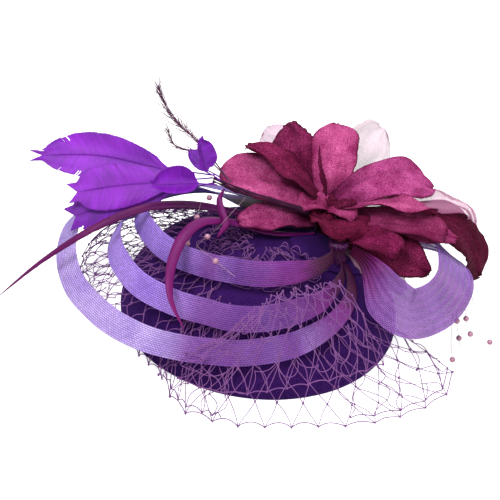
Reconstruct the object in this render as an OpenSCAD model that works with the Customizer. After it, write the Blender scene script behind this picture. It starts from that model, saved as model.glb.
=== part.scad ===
// Fascinator headpiece: a shallow domed felt base that carries crin ribbon
// loops, a fabric flower, feathers, beads on wire and a net veil, and is worn
// on two hinged hair clips sewn inside the rim.
// The origin is the centre of the rim circle, +Z is up and -Y is the front.

/* [Felt base] */
// Outer radius of the rim
rim_r = 83; // [69:1:100]
// Height of the dome above the rim
dome_h = 46; // [38:1:56]
// How square the shoulder is, 2 being a true ellipse
shoulder = 2.15; // [2:0.05:2.4]
// Thickness of the felt
felt_t = 3; // [2:0.5:4]

/* [Inside the base] */
// Height of the petersham band inside the rim
petersham_h = 9; // [6:1:9]
// Thickness of the petersham band
petersham_t = 0.8; // [0.5:0.1:1.2]
// Diameter of the millinery wire in the rim
rim_wire_d = 1.6; // [1:0.2:2.4]
// Radius of the backing patch under the flower
backing_r = 22; // [16:1:26]
// Thickness of the backing patch
backing_t = 1.5; // [1:0.5:3]

/* [Flower mounting] */
// Radius of the pad under the flower
pad_r = 24; // [20:1:27]
// Thickness of the pad
pad_t = 2; // [1.5:0.5:3]
// Radius of the flower core
core_r = 6; // [5:0.1:8]
// Height of the top of the flower core above the rim
core_top = 68; // [66:1:70]
// Radius of the stitched ribbon knot
knot_r = 6; // [5:0.5:7]

/* [Crin ribbons] */
// Width of the three loop ribbons
crin_w = 14.5; // [10:0.1:17.5]
// Width of the bow ribbon at its widest
bow_w = 28; // [20:1:32]
// Thickness of all the crin
crin_t = 0.8; // [0.5:0.1:1.2]
// Width that each ribbon is gathered to at its ends
gathered_w = 6; // [5:0.5:7]

/* [Petals and feathers] */
// Thickness of the cloth petals
petal_t = 0.7; // [0.4:0.1:1]
// Thickness of the sheer petals
sheer_t = 0.5; // [0.3:0.1:0.8]
// Thickness of the feathers
feather_t = 0.6; // [0.4:0.1:1]
// Radius of the wrapped stem bundle
stem_r = 1.8; // [1.4:0.1:2.2]
// Radius of one quill
quill_r = 0.6; // [0.4:0.1:0.7]

/* [Beads and veil] */
// Diameter of the pearl beads
pearl_d = 3.4; // [3:0.2:4]
// Diameter of the bead wire
bead_wire_d = 0.6; // [0.4:0.1:0.8]
// Thickness of the folded net veil
veil_t = 0.8; // [0.5:0.1:1]

/* [Hair clips] */
// Length of a clip's fixed arm from pivot to tip
jaw_len = 25; // [18:1:30]
// Length of a clip from pivot to tail
tail_len = 20; // [14:1:22]
// Width of a clip
clip_w = 9; // [8:0.5:11]
// Thickness of the clip's sheet steel
sheet_t = 0.8; // [0.5:0.1:1]
// Radius of the hinge pin
pin_r = 1; // [0.8:0.1:1.2]
// Height of the clips' middle above the rim
clip_z = 20; // [19:1:22]

/* [Hidden] */

// Gap left between soft pieces that lie on each other
soft_gap = 0.3;
// Running clearances of the hinge pin in the moving and the fixed arm
run_gap = 0.05;
seat_gap = 0.02;

inner_r = rim_r - felt_t;
inner_h = dome_h - felt_t;

// The trimmings were shaped on a base, core, knot and clip of these sizes. On
// other sizes their points move out with the rim and up with the dome, but
// close to the core or the knot they keep their distance from its side.
shaped_r = 83;
shaped_h = 46;
shaped_core_r = 6;
shaped_knot_r = 6;
shaped_jaw = 25;
shaped_core = [34, 24];
shaped_knot = [42, -3];
post_near = 10;
post_reach = 16;
raise_from = 41;
spread = rim_r / shaped_r;
function raised(z) = z + (dome_h - shaped_h) * min(1, z / raise_from);
function kept(p, at, more) =
    let (v = p - at, d = norm(v))
    ((1 - spread) * v + v / d * more) * max(0, min(1, (post_reach - d) / (post_reach - post_near)));
function placed(p) =
    let (q = [p[0], p[1]],
         near = kept(q, shaped_core, core_r - shaped_core_r) + kept(q, shaped_knot, knot_r - shaped_knot_r))
    concat(q * spread + near, [raised(p[2])], [for (i = [3 : 1 : len(p) - 1]) p[i]]);
function placed_all(route) = [for (q = route) placed(q)];

// Where the pad, the flower core and the ribbon knot stand, in plan
pad_at = [38, 10] * spread;
core_at = shaped_core * spread;
knot_at = shaped_knot * spread;

// Height of the top of the ribbon knot
knot_top = raised(55);

// Middle lines of the crin ribbons, each point with its lean
outer_route = placed_all([[47.2, -7.8, 43.8, 60], [50.5, -18, 42, 60], [51, -30, 39.5, 62], [47, -43, 37, 62],
    [37, -57, 34, 60], [19, -71, 31, 52], [-6, -79, 29, 50], [-26, -80, 28.5, 50],
    [-43, -79, 28.5, 50], [-61, -75, 29, 50], [-80, -65, 30, 50], [-95, -51, 31, 50],
    [-105, -38, 32, 50], [-113, -19, 34, 50], [-116, 0, 36, 50], [-114, 20, 38, 50],
    [-103, 38, 40, 50], [-87, 52, 41.5, 50], [-63, 61, 43, 55], [-36, 60, 44.5, 65],
    [-8, 49, 46, 75], [28, 28.5, 45.8, 85]]);
middle_route = placed_all([[43, -10, 49, 30], [45, -20, 49, 28], [43.5, -31, 48.5, 28], [34, -48, 46.5, 28],
    [18, -60, 45, 28], [1, -66, 43, 30], [-16, -67, 42.5, 30], [-28, -64, 42.5, 30],
    [-46, -59, 42.5, 30], [-65, -48.5, 43, 30], [-77, -35, 44, 30], [-85, -19, 45, 30],
    [-87, -4, 46, 30], [-84, 12, 46.5, 30], [-75, 28, 47, 30], [-62, 40, 48, 35],
    [-44, 46, 49, 45], [-22, 43, 49.5, 65], [2, 34, 49, 80], [27.3, 25, 48.4, 86]]);
inner_route = placed_all([[37, -9, 53, 20], [38, -17, 56.5, 20], [36, -25, 57.5, 22], [28, -33, 56.5, 24],
    [15, -38, 55.5, 25], [-2, -41, 54.5, 25], [-19, -40, 54.5, 25], [-31, -38, 54.5, 25],
    [-47, -32, 54.5, 25], [-60, -22, 55, 25], [-69, -9, 55.5, 25], [-74, 4, 56, 25],
    [-73, 16, 56.5, 25], [-65, 27, 57, 30], [-51, 34, 57, 40], [-34, 34, 56.5, 55],
    [-14, 28, 54.5, 75], [6, 24, 52, 85], [27.3, 23, 50.9, 89]]);
bow_route = placed_all([[50, -1.5, 50, 15], [58, -12, 50, 20], [64, -25, 48, 26], [71, -37, 44, 34],
    [84, -44, 40.5, 38], [99, -34, 40, 42], [109, -17, 40, 47], [113, 1, 41, 56],
    [110, 18, 41.5, 50], [102, 31, 41, 32], [89, 36, 41, 24], [71, 33, 42, 40], [56, 28, 44, 65],
    [40.9, 25, 45, 86]]);

// Middle lines of the stems and of the long thin feathers
stem_end = placed([-34, 13, 79]);
stem_before = placed([-18, 12, 74]);
stem_route = concat(placed_all([[26.5, 20, 58.5], [18, 14, 64], [0, 12, 69.5]]), [stem_before, stem_end]);
biot_long_route = placed_all([[28.2, 20.5, 47.6], [4, 13, 53], [-24, 12, 59], [-48, 4, 65.5], [-72, -8, 67.5],
    [-98, -23, 60], [-126, -29, 38], [-152, -29, 9]]);
biot_front_route = placed_all([[28.5, 16.5, 46.5], [5, 7, 50], [-20, 2, 58], [-37, -13, 66], [-46, -32, 67],
    [-50, -52, 61], [-48, -68, 52], [-39, -80, 42]]);
biot_curl_route = placed_all([[-27, 10.6, 74.8], [-29, 5, 71], [-27, -1, 67], [-24, -7, 62], [-28, -15, 58]]);

// Bead wires, with a pearl in the middle of each stretch after the first.
// The right ones start under the bow, each at its own step of the ribbon.
left_wires = [
    placed_all([[-24, 10.2, 74], [-31, 13, 68.5], [-39.5, 8, 67], [-42, -14, 57.5], [-46, -27, 53.5]]),
    placed_all([[-14, 10, 71.2], [-28, -12, 62.5], [-38, -36, 65.5], [-15, -56, 62]])];
right_drops = [
    [25, placed_all([[114, -20, 27], [117, -20, 14], [121, -20, 2.2]])],
    [27, placed_all([[119, -19, 28], [122, -20, 17], [128, -20, 7]])],
    [29, placed_all([[132, -18, 12], [143, -21, 2.2]])],
    [22, placed_all([[112, -34, 14], [115, -47, 2.2]])]];

// Hem of the veil as [direction, radius, height, fullness of its fall, inner radius]
shaped_hem = [[125, 90, 12, 1.5, 34], [145, 110, 10, 1.5, 34], [165, 113, 10, 1.5, 34],
    [185, 106, 13, 1.5, 34], [205, 99, 16, 1.5, 34], [225, 92, 8, 1.6, 34], [238, 93, 3, 1.6, 34],
    [250, 106, 1, 1.5, 34], [265, 107, 1, 1.45, 34], [285, 106, 1, 1.35, 34],
    [300, 112, 1, 1.2, 38], [315, 120, 1, 1.1, 44], [330, 127, 1.5, 1.1, 50], [337, 123, 5, 1.1, 53]];
hem = [for (q = shaped_hem)
    [q[0], q[1] * spread, raised(q[2]), q[3], q[4] * spread]];
veil_top = raised(48);

// Directions of the two clips, and heights of their parts above the felt
front_az = 270;
back_az = 90;
// A longer clip, or one on a tighter curve, stands further off the wall
function clip_sag(length, r, h) = length * length / (2 * dome_x(clip_z, r - felt_t, h - felt_t));
clip_base = 4.2 + clip_sag(jaw_len, rim_r, dome_h) - clip_sag(shaped_jaw, shaped_r, shaped_h);
arm_z = clip_base + 0.2;
ear_r = 2.6;
pivot_z = arm_z + sheet_t + 3.4;
plate_z = 2.4;
jaw_slope = 12 * shaped_jaw / jaw_len;
tail_slope = 24;
spring_leg = 10;

// ---------- shared functions ----------

function unit(v) = v / norm(v);
// Height of a dome of base radius r and height h at distance d from its axis
function dome_z(d, r, h) = d >= r ? 0 : h * pow(1 - pow(d / r, shoulder), 1 / shoulder);
// Radius of the same dome at height z
function dome_x(z, r, h) = r * pow(1 - pow(z / h, shoulder), 1 / shoulder);
// Outline of half a dome, from the axis at the top down to the rim
function dome_outline(r, h, n = 22) =
    [for (i = [0 : n])
        let (a = 90 * i / n)
        [r * pow(sin(a), 2 / shoulder), h * pow(cos(a), 2 / shoulder)]];
// One point of a smooth curve through a list of points
function curve_point(p, i, t) =
    let (n = len(p) - 1,
         a = p[max(i - 1, 0)], b = p[i], c = p[min(i + 1, n)], d = p[min(i + 2, n)])
    0.5 * (2 * b + (c - a) * t + (2 * a - 5 * b + 4 * c - d) * t * t
           + (3 * b - a - 3 * c + d) * t * t * t);
// The whole curve with a number of steps between neighbouring points
function smooth_curve(p, steps) =
    concat([for (i = [0 : len(p) - 2], j = [0 : steps - 1]) curve_point(p, i, j / steps)],
           [p[len(p) - 1]]);
function along(p, i) = unit(p[min(i + 1, len(p) - 1)] - p[max(i - 1, 0)]);
function xyz(p) = [p[0], p[1], p[2]];
// 0 at an end of a piece, rising to 1 once past a share of its length
function ease_in(u, share) = let (t = min(1, u / share)) t * t * (3 - 2 * t);
// Unit vectors square to a direction: across it and a hint, and above it
upright = [0, 0, 1];
function across(d, hint = upright) = unit(cross(d, hint));
function above(d, hint = upright) = cross(across(d, hint), d);

// ---------- shared modules ----------

// Solid dome, closed flat at the rim
module dome_solid(r, h) {
    rotate_extrude($fn = 180) polygon(concat([[0, 0]], dome_outline(r, h)));
}

// Closed skin over rings that all have the same number of points
module skin(rings) {
    n = len(rings[0]);
    last = (len(rings) - 1) * n;
    walls = [for (i = [0 : len(rings) - 2], j = [0 : n - 1])
        let (a = i * n + j, b = i * n + (j + 1) % n)
        each [[a, b, b + n], [a, b + n, a + n]]];
    start_cap = [for (j = [1 : n - 2]) [0, j + 1, j]];
    end_cap = [for (j = [1 : n - 2]) [last, last + j, last + j + 1]];
    polyhedron([for (r = rings) each r], concat(walls, start_cap, end_cap));
}

// Round rod along a list of points, tapering from r0 to r1
module rod(points, r0, r1, sides = 8) {
    last = len(points) - 1;
    hint = [0, 0.8, -0.6];
    skin([for (i = [0 : last])
        let (d = along(points, i), a = across(d, hint), b = above(d, hint), r = r0 + (r1 - r0) * i / last)
        [for (k = [0 : sides - 1])
            points[i] + r * (a * cos(360 * k / sides) + b * sin(360 * k / sides))]]);
}

// Ribbon along points [x, y, z, lean]: a lean of 0 stands it upright and 90
// lays it flat. turn is 1 where the path runs clockwise seen from above.
// At step i it has a centre, a vector to its upper edge and its face's normal.
function ribbon_step(p, i, width, turn) =
    let (c = [for (q = p) xyz(q)], d = along(c, i), side = across(d), up = cross(side, d),
         lean = p[i][3], u = i / (len(p) - 1),
         w = gathered_w + (width - gathered_w) * ease_in(min(u, 1 - u), 0.2))
    [c[i], (up * cos(lean) + turn * side * sin(lean)) * w / 2,
     up * sin(lean) - turn * side * cos(lean)];

module ribbon(route, width, thick, turn) {
    p = smooth_curve(route, 4);
    skin([for (i = [0 : len(p) - 1])
        let (q = ribbon_step(p, i, width, turn), c = q[0], edge = q[1], out = turn * q[2] * thick / 2)
        [c - edge - out, c - edge + out, c + edge + out, c + edge - out]]);
}

// Petal or feather vane on a mid-line. roll turns it about the mid-line and
// cup is how far its edges lift, as a share of half its width. neck is its
// width at the base and wide_at the share of its length where it is widest.
// hint is a direction that the mid-line never follows.
module blade(route, width, thick, roll, cup, neck, wide_at = 0.62, tip = 0.35, hint = upright) {
    p = smooth_curve(route, 3);
    last = len(p) - 1;
    cols = 4;
    bend = ln(0.5) / ln(wide_at);
    skin([for (i = [0 : last])
        let (u = i / last, d = along(p, i), a0 = across(d, hint), b0 = above(d, hint),
             a = a0 * cos(roll) + b0 * sin(roll), b = b0 * cos(roll) - a0 * sin(roll),
             full = sin(180 * pow(u, bend)),
             half = max(neck / 2, width / 2 * pow(max(full, 0), 0.75), u > 0.9 ? width * tip / 2 : 0),
             vs = [for (j = [0 : cols]) 2 * j / cols - 1])
        concat([for (v = vs) p[i] + a * half * v + b * (cup * half * v * v + thick / 2)],
               [for (j = [cols : -1 : 0]) let (v = vs[j])
                   p[i] + a * half * v + b * (cup * half * v * v - thick / 2)])]);
}

// ---------- felt base and what lies on it ----------

// Band of the dome's inside or outside between two heights. lift is the
// distance of its near face from the felt, negative inside.
module dome_band(r, h, thick, z0, z1) {
    steps = 8;
    zs = [for (i = [0 : steps]) z0 + (z1 - z0) * i / steps];
    rotate_extrude($fn = 96)
    polygon(concat([for (z = zs) [dome_x(z, r, h), z]],
                   [for (i = [steps : -1 : 0]) [dome_x(zs[i], r - thick, h - thick), zs[i]]]));
}

module felt_base() {
    outer = dome_outline(rim_r, dome_h);
    inner = dome_outline(inner_r, inner_h);
    last = len(inner) - 1;
    color([0.24, 0.09, 0.42])
    rotate_extrude($fn = 96)
    polygon(concat(outer, [for (i = [last : -1 : 0]) inner[i]]));
}

module rim_wire() {
    r = rim_wire_d / 2;
    color([0.75, 0.75, 0.78])
    translate([0, 0, r + soft_gap])
    rotate_extrude($fn = 96)
    translate([inner_r - soft_gap - r, 0])
    circle(r, $fn = 24);
}

module rim_ribbon() {
    z0 = rim_wire_d + 2 * soft_gap;
    color([0.16, 0.06, 0.28])
    dome_band(inner_r - soft_gap, inner_h - soft_gap, petersham_t, z0, z0 + petersham_h);
}

module backing_patch() {
    color([0.12, 0.1, 0.14])
    intersection() {
        difference() {
            dome_solid(inner_r - soft_gap, inner_h - soft_gap);
            dome_solid(inner_r - soft_gap - backing_t, inner_h - soft_gap - backing_t);
        }
        translate([pad_at[0], pad_at[1], 0]) cylinder(dome_h, backing_r, backing_r, $fn = 64);
    }
}

module flower_pad() {
    color([0.2, 0.07, 0.34])
    intersection() {
        difference() {
            dome_solid(rim_r + soft_gap + pad_t, dome_h + soft_gap + pad_t);
            dome_solid(rim_r + soft_gap, dome_h + soft_gap);
        }
        translate([pad_at[0], pad_at[1], 0]) cylinder(2 * dome_h, pad_r, pad_r, $fn = 64);
    }
}

// Post on the pad whose foot follows the pad's curve
module post_on_pad(at, radius, top) {
    lift = 2 * soft_gap + pad_t;
    difference() {
        translate([at[0], at[1], 0]) cylinder(top, radius, radius, $fn = 48);
        dome_solid(rim_r + lift, dome_h + lift);
    }
}

module flower_core() {
    color([0.4, 0.06, 0.25]) post_on_pad(core_at, core_r, raised(core_top));
}

module ribbon_knot() {
    color([0.45, 0.1, 0.4]) post_on_pad(knot_at, knot_r, knot_top);
}

// ---------- crin ribbons ----------

module crin_loop_outer() {
    color([0.62, 0.47, 0.86]) ribbon(outer_route, crin_w, crin_t, 1);
}

module crin_loop_middle() {
    color([0.6, 0.44, 0.85]) ribbon(middle_route, crin_w, crin_t, 1);
}

module crin_loop_inner() {
    color([0.58, 0.42, 0.84]) ribbon(inner_route, crin_w, crin_t, 1);
}

module crin_bow_loop() {
    color([0.64, 0.4, 0.82]) ribbon(bow_route, bow_w, crin_t, -1);
}

// ---------- flower ----------

// Gap at the root of a petal, which its curved neck needs
root_gap = 0.9;
// Where a petal that heads for a point leaves the core, at height z
function core_seat(to, z, gap = root_gap) =
    let (d = unit([to[0] - core_at[0], to[1] - core_at[1], 0]))
    [core_at[0], core_at[1], z] + d * (core_r + gap);

// Petal from the core to its tip. z is the height of its base, rise is how far
// its middle bows up, and roll turns it about its length.
module petal(to, z, width, rise, roll, cup, thick = petal_t, hint = upright) {
    tip = placed(to);
    base = core_seat(tip, raised(z), hint == upright ? root_gap : 1.4 * root_gap);
    d = unit(tip - base);
    bow = above(d, hint) * rise;
    mid = (base + tip) / 2 + bow;
    near = (base + mid) / 2 + bow * 0.25;
    far = (mid + tip) / 2 + bow * 0.25;
    blade([base, near, mid, far, tip], width, thick, roll, cup, 5, hint = hint);
}
// Hint for the petals that stand nearly upright
frontward = [0, -1, 0];

module petal_left_long() {
    color([0.72, 0.25, 0.5]) petal([-31, 31, 75], 62, 25, 4, 14, 0.2);
}

module petal_left_low() {
    color([0.5, 0.12, 0.35]) petal([-17, 2, 61], 52.5, 22, 3, 28, 0.2);
}

module petal_back_left() {
    color([0.4, 0.08, 0.3]) petal([-16, 47, 87], 65.5, 15, 4, -10, 0.2);
}

module petal_back_ruffled() {
    color([0.45, 0.1, 0.35]) petal([3, 72, 86], 58, 27, 4, 0, 0.25, hint = frontward);
}

module petal_back_tall() {
    color([0.78, 0.28, 0.55]) petal([36, 66, 97], 62, 27, 5, 0, 0.15, hint = frontward);
}

module petal_right_high() {
    color([0.7, 0.28, 0.58]) petal([100, 54, 65], 64, 30, 15, -30, 0.25);
}

module petal_right_fold() {
    color([0.62, 0.2, 0.48]) petal([98, 20, 68], 61.5, 16, 5, 12, 0.2);
}

module petal_right_low() {
    color([0.6, 0.18, 0.42]) petal([105, 11, 61.5], 57.5, 18, 2, -10, 0.2);
}

module petal_right_tuck() {
    color([0.68, 0.24, 0.5]) petal([113, 18, 54.5], 54, 19, 3, -5, 0.1);
}

// The two outermost petals pass over the bow's far side and then droop
module petal_far_right() {
    tip = placed([137, 31, 19]);
    color([0.35, 0.06, 0.22])
    blade(concat([core_seat(tip, raised(49.8))],
                 placed_all([[70, 27, 53.5], [98, 32, 54.5], [121, 35, 45]]), [tip]),
          28, petal_t, -8, 0.12, 5);
}

module sheer_petal_right() {
    tip = placed([132, 53, 39]);
    color([0.93, 0.8, 0.88, 0.6])
    blade(concat([core_seat(tip, raised(51.5))],
                 placed_all([[68, 38, 59.5], [98, 45.5, 61.5], [120, 52.5, 54]]), [tip]),
          18, sheer_t, -8, 0.1, 5);
}

module petal_front() {
    color([0.4, 0.05, 0.22]) petal([46, -4, 60], 57.5, 38, 2, 8, 0.25);
}

module petal_front_low() {
    color([0.42, 0.07, 0.26]) petal([76, -12, 61], 51, 16, 2, -15, 0.2);
}

module petal_in_bow() {
    color([0.5, 0.1, 0.32]) petal([97, -4, 43], 47.5, 20, 2, -15, 0.15);
}

module sheer_petal_left() {
    color([0.93, 0.8, 0.88, 0.6]) petal([-9, 84, 75], 49.5, 22, -3, 0, 0.2, sheer_t, hint = frontward);
}

module sheer_petal_back() {
    color([0.93, 0.82, 0.88, 0.6]) petal([68, 82, 86], 57, 30, -2, 0, 0.2, sheer_t, hint = frontward);
}

module sheer_petal_low() {
    color([0.93, 0.8, 0.88, 0.6]) petal([84, -12, 33], 44.5, 15, 3, -15, 0, sheer_t);
}

// ---------- stems, feathers and biots ----------

module stem_bundle() {
    color([0.25, 0.05, 0.2]) rod(smooth_curve(stem_route, 4), stem_r, stem_r);
}

// Place of quill k beside the outer end of the stem bundle, at angle k
function stem_seat(k, back = 0) =
    let (d = unit(stem_end - stem_before), a = across(d), b = above(d),
         gap = stem_r + quill_r + soft_gap)
    stem_end - d * back + gap * (a * cos(k) + b * sin(k));

// Feather: a bare quill from the stems, then a vane that ends at the tip
module feather(k, back, joint, to, width, rise, roll, cup, wide_at = 0.6) {
    seat = stem_seat(k, back);
    joint_at = placed(joint);
    tip = placed(to);
    mid = (joint_at + tip) / 2 + [0, 0, rise];
    blade([seat, (seat + joint_at) / 2, joint_at, mid, tip], width, feather_t, roll, cup,
          2 * quill_r, wide_at);
}

module goose_feather_upper() {
    color([0.58, 0.2, 0.85]) feather(30, 0, [-66, 24, 76], [-136, 26, 75], 24, 4, 50, 0.15, 0.7);
}

module goose_feather_middle() {
    color([0.56, 0.18, 0.83]) feather(345, 0, [-62, 10.5, 75.3], [-112, 8.5, 63.3], 20, 1, 50, 0.15, 0.72);
}

module goose_feather_lower() {
    color([0.45, 0.14, 0.72]) feather(300, 2, [-64, 7.6, 68], [-112, 4.5, 49], 13, 3, 50, 0.1, 0.78);
}

module curled_feather_low() {
    color([0.6, 0.22, 0.86]) feather(200, 3, [-44, 8, 78], [-67, 0, 79], 12, 0, 50, 0.3);
}

module curled_feather_tall() {
    color([0.6, 0.22, 0.86]) feather(130, 4, [-38.5, 12, 85], [-44, 16, 102], 12, 0, 5, 0.3);
}

module curled_feather_short() {
    color([0.5, 0.16, 0.75]) feather(75, 3, [-39, 17, 83], [-49, 25, 89], 8, 0, 30, 0.2);
}

// Bare quill from the stems through a list of points
module plume(k, points) {
    color([0.3, 0.1, 0.2])
    rod(smooth_curve(concat([stem_seat(k, 10)], placed_all(points)), 4), quill_r, 0.3);
}

module plume_tall() {
    plume(95, [[-42, 26, 92], [-62, 37, 104], [-71, 40, 121]]);
}

module plume_short() {
    plume(50, [[-42, 32, 83], [-58, 37, 84], [-64, 40, 93]]);
}

module biot_long() {
    color([0.4, 0.05, 0.38]) blade(biot_long_route, 4.5, feather_t, 35, 0.06, 1.6, 0.4, 0.15);
}

module biot_front() {
    color([0.58, 0.1, 0.5]) blade(biot_front_route, 6, feather_t, 10, 0.06, 2, 0.5, 0.15);
}

module biot_curl() {
    color([0.55, 0.1, 0.5])
    blade(biot_curl_route, 4, feather_t, 0, 0, 1.2, 0.5, 0.2, frontward);
}

// ---------- beads on wire ----------

// A bead wire that starts under the bow ribbon near its lower edge
function bow_wire(drop) =
    let (q = ribbon_step(smooth_curve(bow_route, 4), drop[0], bow_w, -1),
         under = crin_t / 2 + soft_gap + bead_wire_d / 2)
    concat([q[0] - 0.7 * q[1] - under * q[2]], drop[1]);
right_wires = [for (drop = right_drops) bow_wire(drop)];

// Pearls threaded half way along each stretch of wire, with a drilled hole
module pearls(wires) {
    for (w = wires, i = [1 : len(w) - 2]) {
        d = w[i + 1] - w[i];
        translate((w[i] + w[i + 1]) / 2)
        rotate([0, acos(d[2] / norm(d)), atan2(d[1], d[0])])
        difference() {
            sphere(pearl_d / 2, $fn = 32);
            cylinder(pearl_d + 1, bead_wire_d / 2 + run_gap, bead_wire_d / 2 + run_gap,
                     center = true, $fn = 24);
        }
    }
}

module bead_wires(wires) {
    for (w = wires) rod(w, bead_wire_d / 2, bead_wire_d / 2, 6);
}

module bead_wire_left() {
    color([0.6, 0.4, 0.5]) bead_wires(left_wires);
}

module pearls_left() {
    color([0.85, 0.65, 0.78]) pearls(left_wires);
}

module bead_wire_right() {
    color([0.6, 0.4, 0.5]) bead_wires(right_wires);
}

module pearls_right() {
    color([0.85, 0.65, 0.78]) pearls(right_wires);
}

// ---------- veil ----------

// Net laid over the dome and falling past the rim, as one folded thickness.
// Its edge in one direction is [radius, height, fullness, inner radius].
function hem_at(a) =
    [for (k = [1 : 4]) lookup(a, [for (q = smooth_curve(hem, 4)) [q[0], q[k]]])];
function veil_point(a, s, lift) =
    let (edge = hem_at(a), r = edge[3] + (edge[0] - edge[3]) * s, full = edge[2],
         fall = veil_top * pow(max(0, 1 - pow(min(1, r / edge[0]), full)), 1 / full),
         over = dome_z(r, rim_r, dome_h) + 2 * soft_gap)
    [r * cos(a), r * sin(a), lift + max(over, edge[1] + fall * (1 - edge[1] / veil_top))];

module veil() {
    cols = 42;
    rows = 12;
    rings = [for (i = [0 : cols])
        let (a = hem[0][0] + (hem[len(hem) - 1][0] - hem[0][0]) * i / cols)
        concat([for (j = [0 : rows]) veil_point(a, j / rows, 0)],
               [for (j = [rows : -1 : 0]) veil_point(a, j / rows, veil_t)])];
    color([0.65, 0.4, 0.68, 0.5]) skin(rings);
}

// The net's folded front edge lies over the two lower ribbons, as
// [direction, inner radius, its height, outer radius, its height]
shaped_overlay = [[246, 91, 28, 98, 15], [258, 78, 39, 99, 15], [270, 64, 53, 98, 17],
    [285, 57, 56, 95, 20], [300, 56, 56, 96, 22], [317, 58, 54, 97, 20]];
overlay = [for (q = shaped_overlay)
    [q[0], q[1] * spread, raised(q[2]), q[3] * spread, raised(q[4])]];
function overlay_point(a, s, lift) =
    let (e = [for (k = [1 : 4]) lookup(a, [for (q = smooth_curve(overlay, 4)) [q[0], q[k]]])],
         r = e[0] + (e[2] - e[0]) * s)
    [r * cos(a), r * sin(a), lift + e[1] - (e[1] - e[3]) * pow(s, 1.6)];

module veil_overlay() {
    cols = 24;
    rows = 6;
    rings = [for (i = [0 : cols])
        let (a = overlay[0][0] + (overlay[len(overlay) - 1][0] - overlay[0][0]) * i / cols)
        concat([for (j = [0 : rows]) overlay_point(a, j / rows, 0)],
               [for (j = [rows : -1 : 0]) overlay_point(a, j / rows, veil_t)])];
    color([0.65, 0.4, 0.68, 0.5]) skin(rings);
}

// ---------- hair clips ----------

// Places a clip against the inside of the rim, in the direction az, with its
// length along the rim and its jaw opening towards the middle
module on_wall(az) {
    r = dome_x(clip_z, inner_r, inner_h);
    slope = atan2(dome_x(clip_z - 1, inner_r, inner_h) - dome_x(clip_z + 1, inner_r, inner_h), 2);
    rotate([0, 0, az])
    translate([r, 0, clip_z])
    rotate([0, -slope, 0])
    rotate([90, 0, -90])
    children();
}

module clip_pad(az) {
    wall = soft_gap + petersham_t + soft_gap;
    color([0.12, 0.1, 0.14])
    intersection() {
        dome_solid(inner_r - wall, inner_h - wall);
        on_wall(az)
        translate([-tail_len, -clip_w / 2 - 1, -clip_w])
        cube([tail_len + jaw_len, clip_w + 2, clip_w + clip_base]);
    }
}

module pin_hole(radius) {
    translate([0, 0, pivot_z]) rotate([90, 0, 0])
    cylinder(2 * clip_w, radius, radius, center = true, $fn = 48);
}

// Ear of the sheet steel round the pivot, reaching a foot above or below it
module ear(y, foot_z, radius) {
    translate([0, y, pivot_z]) rotate([90, 0, 0]) cylinder(sheet_t, radius, radius, $fn = 48);
    translate([-0.8 * radius, y - sheet_t, min(foot_z, pivot_z)])
    cube([1.6 * radius, sheet_t, abs(pivot_z - foot_z)]);
}

module clip_fixed_arm(az) {
    color([0.8, 0.8, 0.82])
    on_wall(az)
    difference() {
        union() {
            translate([-tail_len, -clip_w / 2, arm_z]) cube([tail_len + jaw_len, clip_w, sheet_t]);
            ear(clip_w / 2, arm_z, ear_r);
            ear(-clip_w / 2 + sheet_t, arm_z, ear_r);
        }
        pin_hole(pin_r + seat_gap);
    }
}

// Side view of the moving arm: a strip bent over the pivot
function bent_strip() =
    let (jaw = [cos(jaw_slope), -sin(jaw_slope)], tail = [-cos(tail_slope), sin(tail_slope)],
         mid_slope = (jaw_slope + tail_slope) / 2, bend = [0, plate_z],
         thick = sheet_t / cos((tail_slope - jaw_slope) / 2))
    [bend, bend + jaw_len * jaw, bend + jaw_len * jaw + sheet_t * [sin(jaw_slope), cos(jaw_slope)],
     bend + thick * [sin(mid_slope), cos(mid_slope)],
     bend + tail_len * tail + sheet_t * [sin(tail_slope), cos(tail_slope)], bend + tail_len * tail];

module clip_moving_arm(az) {
    inside = clip_w / 2 - sheet_t - seat_gap - run_gap;
    ear_at = inside - 0.1;
    foot_z = pivot_z + plate_z + 0.35;
    color([0.8, 0.8, 0.82])
    on_wall(az)
    difference() {
        union() {
            translate([0, inside, pivot_z]) rotate([90, 0, 0])
            linear_extrude(2 * inside) polygon(bent_strip());
            ear(ear_at, foot_z, ear_r - 0.4);
            ear(-ear_at + sheet_t, foot_z, ear_r - 0.4);
        }
        pin_hole(pin_r + run_gap);
    }
}

module clip_pin(az) {
    head_t = 0.6;
    color([0.7, 0.7, 0.72])
    on_wall(az)
    translate([0, 0, pivot_z]) rotate([90, 0, 0]) {
        cylinder(clip_w + 0.2, pin_r, pin_r, center = true, $fn = 48);
        for (s = [-1, 1])
            translate([0, 0, s * (clip_w / 2 + seat_gap + head_t / 2)])
            cylinder(head_t, pin_r + 0.5, pin_r + 0.5, center = true, $fn = 48);
    }
}

module clip_spring(az) {
    coil_w = clip_w - 4 * sheet_t - 1;
    wire_r = 0.35;
    coil_r = pin_r + 0.9;
    color([0.6, 0.6, 0.62])
    on_wall(az)
    translate([0, 0, pivot_z]) {
        rotate([90, 0, 0])
        difference() {
            cylinder(coil_w, coil_r, coil_r, center = true, $fn = 48);
            cylinder(coil_w + 1, coil_r - 2 * wire_r, coil_r - 2 * wire_r, center = true, $fn = 48);
        }
        translate([0, coil_w / 2 - wire_r, coil_r - wire_r])
        rotate([0, -90 + tail_slope, 0]) cylinder(spring_leg, wire_r, wire_r, $fn = 24);
        translate([0, -coil_w / 2 + wire_r, -coil_r + wire_r])
        rotate([0, -90 - 4, 0]) cylinder(spring_leg, wire_r, wire_r, $fn = 24);
    }
}

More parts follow.
